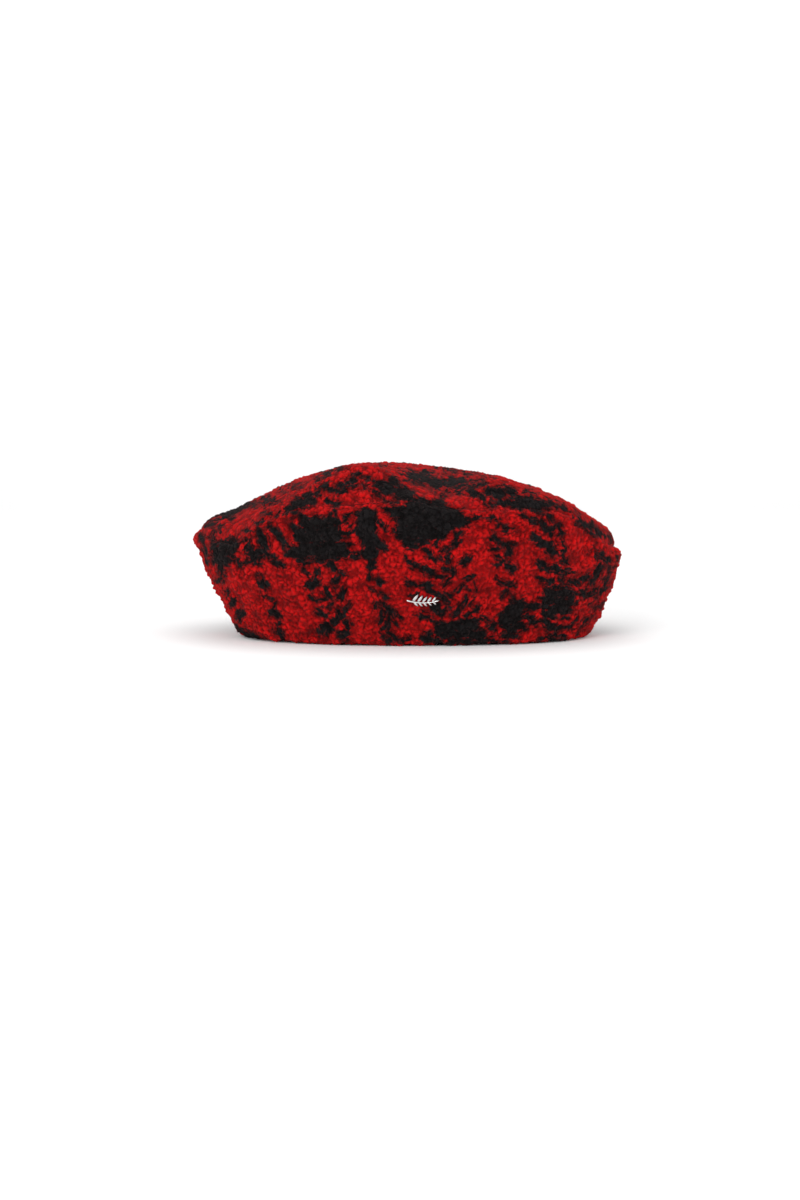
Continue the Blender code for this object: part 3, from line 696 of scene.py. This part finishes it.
def side_rows(angle, sunk, outer_rows):
    """The panel's outline at every angle, row by row from under the rim up the outer face, over the lip,
    and down the inner face and the hem. For each row also its pile, how far it leans with the seam, and
    whether it is the cloth's back; and how many rows are outside."""
    out = outward(angle)
    seam, lip, rim = seam_point(angle), lip_point(angle), rim_point(angle)
    rows, pile, lean, back = [], [], [], []

    def add(row, share, is_back=False, leans=0.0):
        rows.append(row)
        pile.append(share)
        lean.append(leans)
        back.append(is_back)

    for turn in np.linspace(math.pi / 2, 0, 6)[:-1]:
        inset = HEM_THICKNESS / 2 * (1 - math.cos(turn))
        row = side_point(angle, FOOT_SHARE * (1 - math.sin(turn))) - out * inset
        row[:, 2] = FOOT_ROUNDING * (1 - math.sin(turn))
        add(row - out * sunk[:, None], 0.8)
    for up in np.linspace(FOOT_SHARE, 1, outer_rows):
        add(side_point(angle, up) - out * sunk[:, None], 1.0)
    for turn in np.linspace(0, math.pi / 2, 9)[1:]:
        row = lip + (seam - lip) * (1 - math.cos(turn))
        row[:, 2] = lip[:, 2] + (seam[:, 2] - lip[:, 2]) * math.sin(turn)
        add(row - out * (sunk * math.cos(turn))[:, None], 1.0, False, (1 - math.cos(turn)) ** 1.3)
    add(seam - out * CLOTH_THICKNESS - np.array([0, 0, CLOTH_THICKNESS]), 0.0, True)
    outside = len(rows) - 1
    top = (HEM_WIDTH + HEM_THICKNESS / 2) / lip[:, 2]
    for share in np.linspace(0.94, 0.04, 14):
        add(side_point(angle, top + (1 - top) * share) - out * CLOTH_THICKNESS * 1.1, 0.0, True)
    for height, thick in ((1.5, 1.1), (1.0, 1.1), (0.55, 1.25), (0.2, 1.7)):
        level = (HEM_WIDTH + HEM_THICKNESS / 2 * height) / lip[:, 2]
        add(side_point(angle, level) - out * CLOTH_THICKNESS * thick, 0.0, True)
    for height in np.linspace(HEM_WIDTH, 0.0035, HEM_ROWS // COARSER):
        add(side_point(angle, height / lip[:, 2]) - out * HEM_THICKNESS, 0.75)
    for turn in np.linspace(0, math.pi / 2, 4)[1:-1]:
        row = rim - out * (HEM_THICKNESS - HEM_THICKNESS / 2 * (1 - math.cos(turn)))
        row[:, 2] = FOOT_ROUNDING * (1 - math.sin(turn))
        add(row, 0.7)
    return rows, pile, lean, back, outside


def lay_side(name, first, last, columns, outer_rows, dye_at):
    """A side panel between two angles, its rows closed round the hem and its ends capped."""
    radius = (LIP_HALF[0] + LIP_HALF[1]) / 2
    gap, rounding = PIECE_GAP / 2 / radius, SIDE_SEAM_ROUNDING * 1.3 / radius
    angle = even_angles(first + gap, last - gap, columns)
    share = np.clip((np.minimum(angle - first, last - angle) - gap) / rounding, 0, 1)
    sunk = SIDE_SEAM_SHOWN * (1 - np.sqrt(np.maximum(1 - (1 - share) ** 2, 0)))
    rows, pile, lean, back, outside = side_rows(angle, sunk, outer_rows)
    cloth = Cloth(name, dye_at)
    cloth.points = np.concatenate(rows)
    cloth.quads = grid_faces(len(rows), columns, True, False)
    cloth.lean = np.repeat(lean, columns)
    cloth.way = np.tile(seam_way(outward(angle)), (len(rows), 1))
    cloth.points += cloth.way * (cloth.lean * np.tile(seam_fill(angle), len(rows)))[:, None]
    at_ends = np.tile(by_ends(plan_unit(angle)[0], 1, PILE_AT_SEAM_ENDS), len(rows))
    cloth.pile = np.outer(pile, 0.8 + 0.2 * share).ravel() * (1 + (at_ends - 1) * cloth.lean)
    cloth.sewn = np.repeat(np.arange(len(rows)) == outside - 1, columns)
    x, z = cloth.points[:, 0] - SPRIG_TO_RIGHT, cloth.points[:, 2] - SPRIG_HEIGHT
    clear = smoothstep(0.8, 1.3, np.hypot(x / UNDER_SPRIG[0], z / UNDER_SPRIG[1]))
    clear[cloth.points[:, 1] > 0] = 1
    cloth.pile *= PILE_UNDER_SPRIG + (1 - PILE_UNDER_SPRIG) * clear
    back = np.array(back)
    caps = end_caps(len(rows), columns, outside, cloth.points)
    cloth.faces = cloth.quads.tolist() + caps
    cloth.back = np.repeat((back & np.roll(back, -1)).astype(int), columns - 1).tolist() + [1] * len(caps)
    return cloth


def crown_plan(columns, rows):
    """A square grid laid over the crown's plan, closer along the front: x, y and how far out they are."""
    s = np.linspace(-1, 1, columns)
    row = np.linspace(0, 1, rows)
    t = np.interp(row, (0, 0.12, 0.44, 1.0), (-1, -0.93, -0.55, 1.0))
    s, t = np.meshgrid(s, t)
    x, y = s * np.sqrt(1 - t**2 / 2), t * np.sqrt(1 - s**2 / 2)
    radius, angle = np.hypot(x, y), np.arctan2(y, x)
    power = PLAN_SQUARENESS
    reach = (np.abs(np.cos(angle)) ** power + np.abs(np.sin(angle)) ** power) ** (-1 / power)
    return x * reach, y * reach, radius


def grid_border(columns, rows):
    """The numbers of a grid's border places, in order round it."""
    ring = [(0, c) for c in range(columns)] + [(r, columns - 1) for r in range(1, rows)]
    ring += [(rows - 1, c) for c in range(columns - 2, -1, -1)] + [(r, 0) for r in range(rows - 2, 0, -1)]
    return np.array([r * columns + c for r, c in ring])


def crown_inside(edge):
    """Rings of the crown's inner face, from its edge towards the middle, a cloth's thickness under it."""
    step = 0.001
    for share in (0.99, 0.86, 0.62, 0.30):
        x, y = edge[:, 0] * share, edge[:, 1] * share
        slope_x = (crown_field(x + step, y) - crown_field(x - step, y)) / (2 * step)
        slope_y = (crown_field(x, y + step) - crown_field(x, y - step)) / (2 * step)
        steep = np.minimum(np.sqrt(1 + slope_x**2 + slope_y**2), 1.5)
        yield np.column_stack([x, y, crown_field(x, y) - CLOTH_THICKNESS * steep])


def lay_crown(columns, rows, dye_at):
    """The crown: a grid over its plan, rings round its edge, and rings and a fan inside."""
    ux, uy, radius = (a.ravel() for a in crown_plan(columns, rows))
    border = grid_border(columns, rows)
    bx, by = ux[border], uy[border]
    angle = np.arctan2(signed_power(by, PLAN_SQUARENESS / 2), signed_power(bx, PLAN_SQUARENESS / 2))
    out = outward(angle)
    edge = by_ends(bx, CROWN_EDGE_MIDDLE, CROWN_EDGE_ENDS)
    seam = seam_point(angle)
    # The field is drawn in towards the middle so that its border is where the edge starts to round over.
    inner = seam[:, :2] - out[:, :2] * (PIECE_GAP + edge)[:, None]
    share = np.linalg.norm(inner, axis=1) / np.hypot(bx * SEAM_HALF[0], by * SEAM_HALF[1])
    order = np.argsort(np.arctan2(by, bx))
    shrink = np.interp(np.arctan2(uy, ux), np.arctan2(by, bx)[order], share[order], period=2 * math.pi)
    drawn = 1 + (shrink - 1) * radius**4
    x, y = ux * SEAM_HALF[0] * drawn, uy * SEAM_HALF[1] * drawn
    levels = [np.stack([x, y, crown_field(x, y)], 1)]
    count = len(border)
    at_ends = by_ends(bx, 1, PILE_AT_SEAM_ENDS)
    pile, lean = [np.full(len(x), CROWN_PILE)], [np.zeros(len(x))]
    way = [np.tile((0.0, 0, 1), (len(x), 1))]
    rings, back = [border], []

    def add_ring(points, share, leans=0.0, is_back=False):
        rings.append(len(x) + count * (len(rings) - 1) + np.arange(count))
        levels.append(points)
        pile.append(share * (1 + (at_ends - 1) * leans))
        lean.append(np.full(count, leans))
        way.append(seam_way(out))
        back.append(int(is_back))

    for turn in np.linspace(math.pi / 2, 0, CROWN_EDGE_RINGS + 1)[1:]:
        inset = PIECE_GAP + edge * (1 - math.cos(turn))
        at = seam[:, :2] - out[:, :2] * inset[:, None]
        z = crown_field(at[:, 0], at[:, 1]) - edge * (1 - math.sin(turn))
        leans = (1 - math.sin(turn)) ** 1.3
        add_ring(np.column_stack([at, z]), CROWN_PILE + (1 - CROWN_PILE) * leans, leans)
    at = seam[:, :2] - out[:, :2] * (PIECE_GAP + CLOTH_THICKNESS)
    add_ring(np.column_stack([at, seam[:, 2] - CLOTH_THICKNESS + PIECE_GAP]), 0.0, 0.0, True)
    for ring in crown_inside(at):
        add_ring(ring, 0.0, 0.0, True)
    middle = np.array([[0, 0, crown_field(np.zeros(1), np.zeros(1))[0] - CLOTH_THICKNESS]])
    cloth = Cloth("crown_cloth", dye_at)
    cloth.points = np.concatenate(levels + [middle])
    cloth.pile, cloth.lean = (np.append(np.concatenate(a), 0.0) for a in (pile, lean))
    cloth.way = np.concatenate(way + [np.array([[0.0, 0, 1]])])
    filled = np.zeros(len(cloth.points))
    filled[len(x):-1] = np.tile(seam_fill(angle), len(rings) - 1)
    cloth.points += cloth.way * (cloth.lean * filled)[:, None]
    cloth.sewn = np.zeros(len(cloth.points), bool)
    cloth.sewn[rings[CROWN_EDGE_RINGS]] = True
    top = grid_faces(rows, columns, False, False)
    round_edge = [np.stack([a, b, np.roll(b, -1), np.roll(a, -1)], 1) for a, b in zip(rings, rings[1:])]
    cloth.quads = np.concatenate([top] + round_edge)
    last = rings[-1]
    fan = np.stack([last, np.full(count, len(cloth.points) - 1), np.roll(last, -1)], 1)
    cloth.faces = cloth.quads.tolist() + fan.tolist()
    cloth.back = [0] * len(top) + np.repeat(back, count).tolist() + [1] * count
    return cloth


def crest(x):
    """How far back the crown's skyline is, seen from the front, over each x."""
    samples = 120
    xs = np.linspace(-SEAM_HALF[0] * 0.99, SEAM_HALF[0] * 0.99, samples)
    ys = np.linspace(-SEAM_HALF[1], SEAM_HALF[1], samples)
    gx, gy = (a.ravel() for a in np.meshgrid(xs, ys, indexing="ij"))
    points = np.stack([gx, gy, crown_field(gx, gy)], 1)
    _, v = seen_from_front(points)
    ways = ((gx, SEAM_HALF[0]), (gy, SEAM_HALF[1]))
    reach = sum((np.abs(at) / half) ** PLAN_SQUARENESS for at, half in ways)
    v = np.where(reach > 1, OUTSIDE, v).reshape(samples, samples)
    return np.interp(x, xs, ys[v.argmax(1)])


def crown_dye(places):
    u, v = seen_from_front(places)
    # The chart is seen at a glancing angle on top, where it would run into streaks. Noise breaks them up.
    flat = smoothstep(-0.092, -0.066, places[:, 1])
    u = u + 1.5 * flat * wave_noise(places, 0.0085, 51)
    v = v + 1.0 * flat * wave_noise(places, 0.0075, 52)
    charted = strokes_over(u, v, CROWN_STROKES + SIDE_STROKES)
    plain = check(places[:, 0] * 1000 + CHECK_ON_CROWN[0], places[:, 1] * 1000 + CHECK_ON_CROWN[1])
    beyond = places[:, 1] > crest(places[:, 0]) - 0.002
    return np.where(beyond, plain, charted)


def front_dye(places):
    u, v = seen_from_front(places)
    return strokes_over(u, v, SIDE_STROKES + CROWN_STROKES)


def back_dye(places):
    angle = np.arctan2(places[:, 1] / LIP_HALF[1], places[:, 0] / LIP_HALF[0])
    plain = check(angle * CHECK_AROUND_BACK, places[:, 2] * 1000 + CHECK_UP_BACK)
    u, v = seen_from_front(places)
    return np.where(places[:, 1] < CHART_ENDS, strokes_over(u, v, SIDE_STROKES), plain)


class Nodes:
    """A short way to build a material's nodes."""

    def __init__(self, name):
        self.material = bpy.data.materials.new(name)
        self.material.use_nodes = True
        self.tree = self.material.node_tree
        self.shader = self.tree.nodes["Principled BSDF"]

    def feed(self, socket, value):
        """Links a socket to another node's output, or sets it to a constant."""
        if isinstance(value, bpy.types.NodeSocket):
            self.tree.links.new(value, socket)
        else:
            socket.default_value = value

    def new(self, kind, inputs, **settings):
        node = self.tree.nodes.new(kind)
        for key, value in settings.items():
            setattr(node, key, value)
        for key, value in inputs.items():
            self.feed(node.inputs[key], value)
        return node

    def where(self):
        return self.new("ShaderNodeTexCoord", {}).outputs["Object"]

    def attribute(self, name):
        return self.new("ShaderNodeAttribute", {}, attribute_name=name).outputs["Fac"]

    def math(self, operation, a, b=0.0):
        return self.new("ShaderNodeMath", {0: a, 1: b}, operation=operation).outputs[0]

    def plus(self, a, b):
        return self.math("ADD", a, b)

    def times(self, a, b):
        return self.math("MULTIPLY", a, b)

    def around(self, noise, size):
        """A noise moved to lie about zero, times a size."""
        return self.times(self.math("SUBTRACT", noise, 0.5), size)

    def mix(self, factor, a, b):
        return self.new("ShaderNodeMix", {0: factor, 6: a, 7: b}, data_type="RGBA").outputs[2]

    def ramp(self, value, low, high):
        inputs = {0: value, 1: low, 2: high}
        return self.new("ShaderNodeMapRange", inputs, interpolation_type="SMOOTHSTEP").outputs[0]

    def noise(self, where, scale, detail, rough, twist=0.0):
        inputs = {"Vector": where, "Scale": scale, "Detail": detail, "Roughness": rough}
        inputs["Distortion"] = twist
        return self.new("ShaderNodeTexNoise", inputs).outputs[0]

    def bump(self, height, strength, distance):
        inputs = {"Height": height, "Strength": strength, "Distance": distance}
        return self.new("ShaderNodeBump", inputs).outputs[0]

    def finish(self, colour, roughness, **others):
        inputs = {"Base Color": colour, "Roughness": roughness}
        inputs.update((key.replace("_", " "), value) for key, value in others.items())
        for key, value in inputs.items():
            self.feed(self.shader.inputs[key], value)
        return self.material


def pile_material():
    n = Nodes("wool_pile")
    where = n.where()
    dye, high, shade = n.attribute("dye"), n.attribute("high"), n.attribute("shade")
    fine = n.noise(where, 1400, 3.0, 0.65)
    broad = n.noise(where, 70, 2.0, 0.5)
    curled = n.math("SUBTRACT", n.noise(where, 520, 1.0, 0.5, 1.6), 0.5)
    curled = n.ramp(n.math("ABSOLUTE", curled), 0.09, 0.0)
    # The tufts are painted darker where they are low, in the gaps and cracks, and lighter on their tops and
    # along curled lines: painted shade and painted light
    lit = n.plus(n.times(high, 0.85), n.times(fine, 0.3))
    lit = n.ramp(n.plus(lit, n.times(curled, 0.14)), 0.12, 1.0)
    red = n.mix(lit, RED_IN_PAINTED_SHADE, RED_IN_PAINTED_LIGHT)
    red = n.mix(n.times(shade, 0.14), red, RED_DULL)
    red = n.mix(n.times(n.ramp(broad, 0.35, 0.75), 0.22), red, RED_FRESH)
    strayed = n.around(n.noise(where, 430, 3.0, 0.65), 6.0)
    mixed = n.ramp(n.plus(dye, strayed), -2.2, 0.8)
    red = n.mix(n.times(mixed, 0.58), red, RED_WITH_BLACK)
    black = n.ramp(n.plus(dye, n.around(fine, 4.2)), -1.7, 1.3)
    # The black is painted darker in the gaps and lighter on the tips too: painted shade and painted light
    colour = n.mix(black, red, n.mix(lit, BLACK_IN_PAINTED_SHADE, BLACK_IN_PAINTED_LIGHT))
    relief = n.plus(n.times(fine, 0.7), n.times(curled, 0.5))
    return n.finish(
        colour,
        0.95,
        Normal=n.bump(relief, 0.9, 0.0006),
        Sheen_Weight=0.035,
        Sheen_Roughness=0.5,
        Sheen_Tint=(1.0, 0.75, 0.75, 1),
        Specular_IOR_Level=0.05,
    )


def back_material():
    """The cloth's knitted back: fine loops with painted shade between them, and a softer check of its own.
    """
    n = Nodes("cloth_back")
    where = n.where()
    x, y, z = n.new("ShaderNodeSeparateXYZ", {0: where}).outputs
    fine = n.noise(where, 900, 2.0, 0.6)
    loops = n.new("ShaderNodeTexVoronoi", {"Vector": where, "Scale": 620}).outputs[0]
    wander = n.around(n.noise(where, 90, 3.0, 0.6), 0.014)

    def wave(along, repeat):
        return n.math("SINE", n.times(n.plus(along, wander), 2 * math.pi / repeat))

    up = n.plus(y, z)
    warp, weft = wave(x, 0.055), wave(up, 0.068)
    strokes = n.math("SUBTRACT", wave(n.plus(up, n.times(x, 0.6)), 0.0085), 0.35)
    broken = n.math("MINIMUM", n.math("MAXIMUM", warp, weft), strokes)
    dark = n.math("MAXIMUM", n.math("MINIMUM", warp, weft), broken)
    black = n.ramp(n.plus(dark, n.around(fine, 1.6)), -0.1, 0.6)
    colour = n.mix(black, BACK_RED, BACK_BLACK)
    # Painted shade: darker towards the edge of each loop, in the grooves between loops
    colour = n.mix(n.times(n.ramp(loops, 0.2, 0.7), 0.6), colour, BACK_IN_PAINTED_SHADE)
    bump = n.bump(loops, 0.6, 0.0004)
    return n.finish(colour, 0.9, Normal=bump, Sheen_Weight=0.05, Specular_IOR_Level=0.1)


def fibre_material():
    n = Nodes("stray_wool")
    colour = n.mix(n.attribute("dye"), HAIR_RED, HAIR_BLACK)
    colour = n.mix(n.times(n.attribute("shade"), 0.22), colour, HAIR_PALE)
    return n.finish(colour, 0.85, Sheen_Weight=0.05, Specular_IOR_Level=0.1)


def metal_material():
    """Polished metal, painted dark low in the relief and bright on its raised parts: painted shade and
    painted highlight.
    """
    n = Nodes("polished_steel")
    brushed = n.noise(n.where(), 2600, 3.0, 0.6)
    # The raised parts are painted bright and the low parts dark: painted highlight and painted shade
    raised = n.ramp(n.plus(n.attribute("raised"), n.times(brushed, 0.3)), 0.35, 0.95)
    roughness = n.plus(n.times(brushed, 0.18), 0.14)
    bump = n.bump(brushed, 0.2, 0.0001)
    return n.finish(n.mix(raised, METAL_LOW_PAINTED_SHADE, METAL_RAISED_PAINTED_HIGHLIGHT), roughness, Normal=bump, Metallic=1.0)


def floor_material():
    n = Nodes("pale_floor")
    colour = n.mix(n.noise(n.where(), 3.0, 2.0, 0.6), FLOOR_PALE, FLOOR_PALER)
    return n.finish(colour, 0.9, Specular_IOR_Level=0.1)


def make_cloth():
    wool = [pile_material(), back_material()]
    stray = fibre_material()
    right, left = side_seam_angles()
    front_grid, back_grid, crown_grid = (
        [count // COARSER for count in grid] for grid in (FRONT_GRID, BACK_GRID, CROWN_GRID)
    )
    front = lay_side("front_cloth", left, right, *front_grid, front_dye)
    back = lay_side("back_cloth", right, left + 2 * math.pi, *back_grid, back_dye)
    crown = lay_crown(*crown_grid, crown_dye)
    places = scatter((front, back, crown), TUFT_SPACING, 7)
    clumps = scatter((front, back, crown), CLUMP_SPACING, 8)
    for cloth, node, hairs in (
        (front, "side_front", FRONT_HAIRS),
        (back, "side_back", BACK_HAIRS),
        (crown, "crown", CROWN_HAIRS),
    ):
        cloth.raise_pile(places, clumps, 100)
        piece = cloth.make(wool)
        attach(piece, "root")
        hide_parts(node)
        fibres = cloth.make_fibres(node + "_fibres", hairs // COARSER**2, stray, 300)
        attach(fibres, "root")


def sprig_frame():
    """Where the sprig lies: its centre on the cloth, with X along it, Y up the cloth and Z out of it."""

    def on_cloth(x, height):
        low, high = -math.pi, 0.0
        for _ in range(40):
            angle = np.array([(low + high) / 2])
            point = Vector(side_point(angle, height / lip_point(angle)[:, 2])[0])
            low, high = (angle[0], high) if point.x < x else (low, angle[0])
        return point

    step = 1e-4
    centre = on_cloth(SPRIG_TO_RIGHT, SPRIG_HEIGHT)
    along = (on_cloth(SPRIG_TO_RIGHT + step, SPRIG_HEIGHT) - centre).normalized()
    upward = on_cloth(SPRIG_TO_RIGHT, SPRIG_HEIGHT + step) - centre
    out = along.cross(upward).normalized()
    turned = Matrix((along, out.cross(along), out)).transposed().to_4x4()
    return Matrix.Translation(centre) @ turned


def stem_height(x):
    return SPRIG_RISE * (x / (SPRIG_LENGTH / 2)) ** 2


def tube(rings):
    """A closed tube through rings of as many points each: its points and faces."""
    count = len(rings[0])
    faces = grid_faces(len(rings), count, False, True).tolist()
    faces += [tuple(reversed(range(count))), tuple(range((len(rings) - 1) * count, len(rings) * count))]
    return [p for ring in rings for p in ring], faces


def fine_leaf(length, width, height):
    """A pointed leaf along +X: nearly flat at the back, rounded and grooved over the front."""
    rings = []
    for i in range(LEAF_STEPS + 1):
        share = 0.02 + 0.96 * i / LEAF_STEPS
        half = width / 2 * math.sin(math.pi * share ** 0.8) ** 0.8
        tall = height * (0.30 + 0.70 * math.sin(math.pi * share ** 0.7) ** 0.7)
        ring = []
        for turn in turns(SPRIG_SIDES):
            y, z = half * math.cos(turn), math.sin(turn)
            z = tall * (z**0.8 if z > 0 else 0.06 * z)
            groove = 0.35 * math.exp(-((y / (0.16 * width)) ** 2)) * (z > 0)
            ring.append((length * share, y, z * (1 - groove)))
        rings.append(ring)
    return tube(rings)


def leaf_on_stem(x, turn, size):
    """A leaf, and where it grows out of the stem."""
    leaf = fine_leaf(LEAF_LENGTH * size, LEAF_WIDTH * size, SPRIG_THICKNESS * 0.9)
    return leaf, Matrix.Translation((x, stem_height(x), PIECE_GAP)) @ Matrix.Rotation(turn, 4, "Z")


def stem():
    rings = []
    for i in range(STEM_STEPS + 1):
        x = SPRIG_LENGTH * (0.96 * i / STEM_STEPS - 0.5)
        radius = STEM_WIDTH / 2 * (1 - 0.45 * i / STEM_STEPS)
        rings.append([
            (x, stem_height(x) + radius * math.cos(turn), SPRIG_THICKNESS * 0.5 * (1 + math.sin(turn)))
            for turn in turns(SPRIG_SIDES, 0.5)
        ])
    return tube(rings)


def prong(x):
    radius = PRONG_DIAMETER / 2
    ends = (-CLOTH_THICKNESS * 1.1 - PRONG_PAST_CLOTH, PIECE_GAP + SPRIG_THICKNESS / 2)
    corners = [(x + radius * math.cos(t), stem_height(x) + radius * math.sin(t)) for t in turns(12)]
    return tube([[(*corner, z) for corner in corners] for z in ends])


def sprig_parts():
    """The pinned sprig's stem, leaves and two prongs through the cloth, each with its place."""
    yield stem(), Matrix.Translation((0, 0, PIECE_GAP))
    for pair in range(LEAF_PAIRS):
        share = pair / (LEAF_PAIRS - 1)
        x, size = SPRIG_LENGTH * (-0.33 + 0.60 * share), 1 - 0.30 * share
        yield leaf_on_stem(x, LEAF_SLANT, size)
        yield leaf_on_stem(x + SPRIG_LENGTH * 0.035, -LEAF_SLANT * 0.9, size * 0.72)
    yield leaf_on_stem(SPRIG_LENGTH * 0.34, math.radians(14), 0.55)
    for x in (-PRONG_SPACING / 2, PRONG_SPACING / 2):
        yield prong(x), Matrix.Identity(4)


def make_sprig():
    place = sprig_frame()
    points, faces, raised = [], [], []
    for (part_points, part_faces), root in sprig_parts():
        start = len(points)
        local = [root @ Vector(p) for p in part_points]
        raised += [(p.z - PIECE_GAP) / SPRIG_THICKNESS for p in local]
        points += [tuple(place @ p) for p in local]
        faces += [tuple(start + i for i in face) for face in part_faces]
    sprig = new_mesh_object("sprig_metal", np.array(points), faces, [metal_material()])
    add_values(sprig.data, raised=raised)
    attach(sprig, "root")
    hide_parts("pin_sprig")


def make_stage():
    """A pale floor that sweeps up into a backdrop."""
    profile = [(STAGE_FRONT, 0.0), (STAGE_BACK, 0.0)]
    for turn in np.linspace(0.15, math.pi / 2, 12):
        profile.append((STAGE_BACK + STAGE_RADIUS * math.sin(turn), STAGE_RADIUS * (1 - math.cos(turn))))
    profile += [(STAGE_BACK + STAGE_RADIUS, STAGE_HEIGHT)]
    points = np.array([(x, y, z) for y, z in profile for x in (-STAGE_HALF_WIDTH, STAGE_HALF_WIDTH)])
    faces = grid_faces(len(profile), 2, False, False).tolist()
    floor = new_mesh_object("floor", points, faces, [floor_material()])


def add_looking_at(target, place, name, data):
    """Adds a light or a camera that looks at a target."""
    made = bpy.data.objects.new(name, data)
    made.location = place
    made.rotation_euler = (Vector(target) - Vector(place)).to_track_quat("-Z", "Y").to_euler()
    bpy.context.scene.collection.objects.link(made)
    return made


def light_scene():
    world = bpy.data.worlds.new("studio")
    bpy.context.scene.world = world
    world.use_nodes = True
    background = world.node_tree.nodes["Background"]
    background.inputs[0].default_value = (1, 1, 1, 1)
    background.inputs[1].default_value = SKY_STRENGTH
    for name, place, size, power in LIGHTS:
        light = bpy.data.lights.new(name, "AREA")
        light.energy, light.size = power, size
        add_looking_at((0, 0, 0.06), place, name, light)
    bpy.context.scene.view_settings.view_transform = "Standard"


def make_camera():
    data = bpy.data.cameras.new("camera")
    data.sensor_fit = "VERTICAL"
    data.sensor_height = 36
    data.lens = data.sensor_height * EYE_DISTANCE / (PHOTO_ROWS * PHOTO_SCALE)
    back = Vector((0, -math.cos(EYE_ELEVATION), math.sin(EYE_ELEVATION)))
    upward = Vector((0, math.sin(EYE_ELEVATION), math.cos(EYE_ELEVATION)))
    hat = Vector((0, 0, EYE_TARGET_HEIGHT))
    aim = hat - Vector((HAT_RIGHT_OF_MIDDLE, 0, 0)) - upward * HAT_ABOVE_MIDDLE
    bpy.context.scene.camera = add_looking_at(aim, hat + back * EYE_DISTANCE, "camera", data)


make_camera()
light_scene()
make_stage()
make_sprig()
make_cloth()
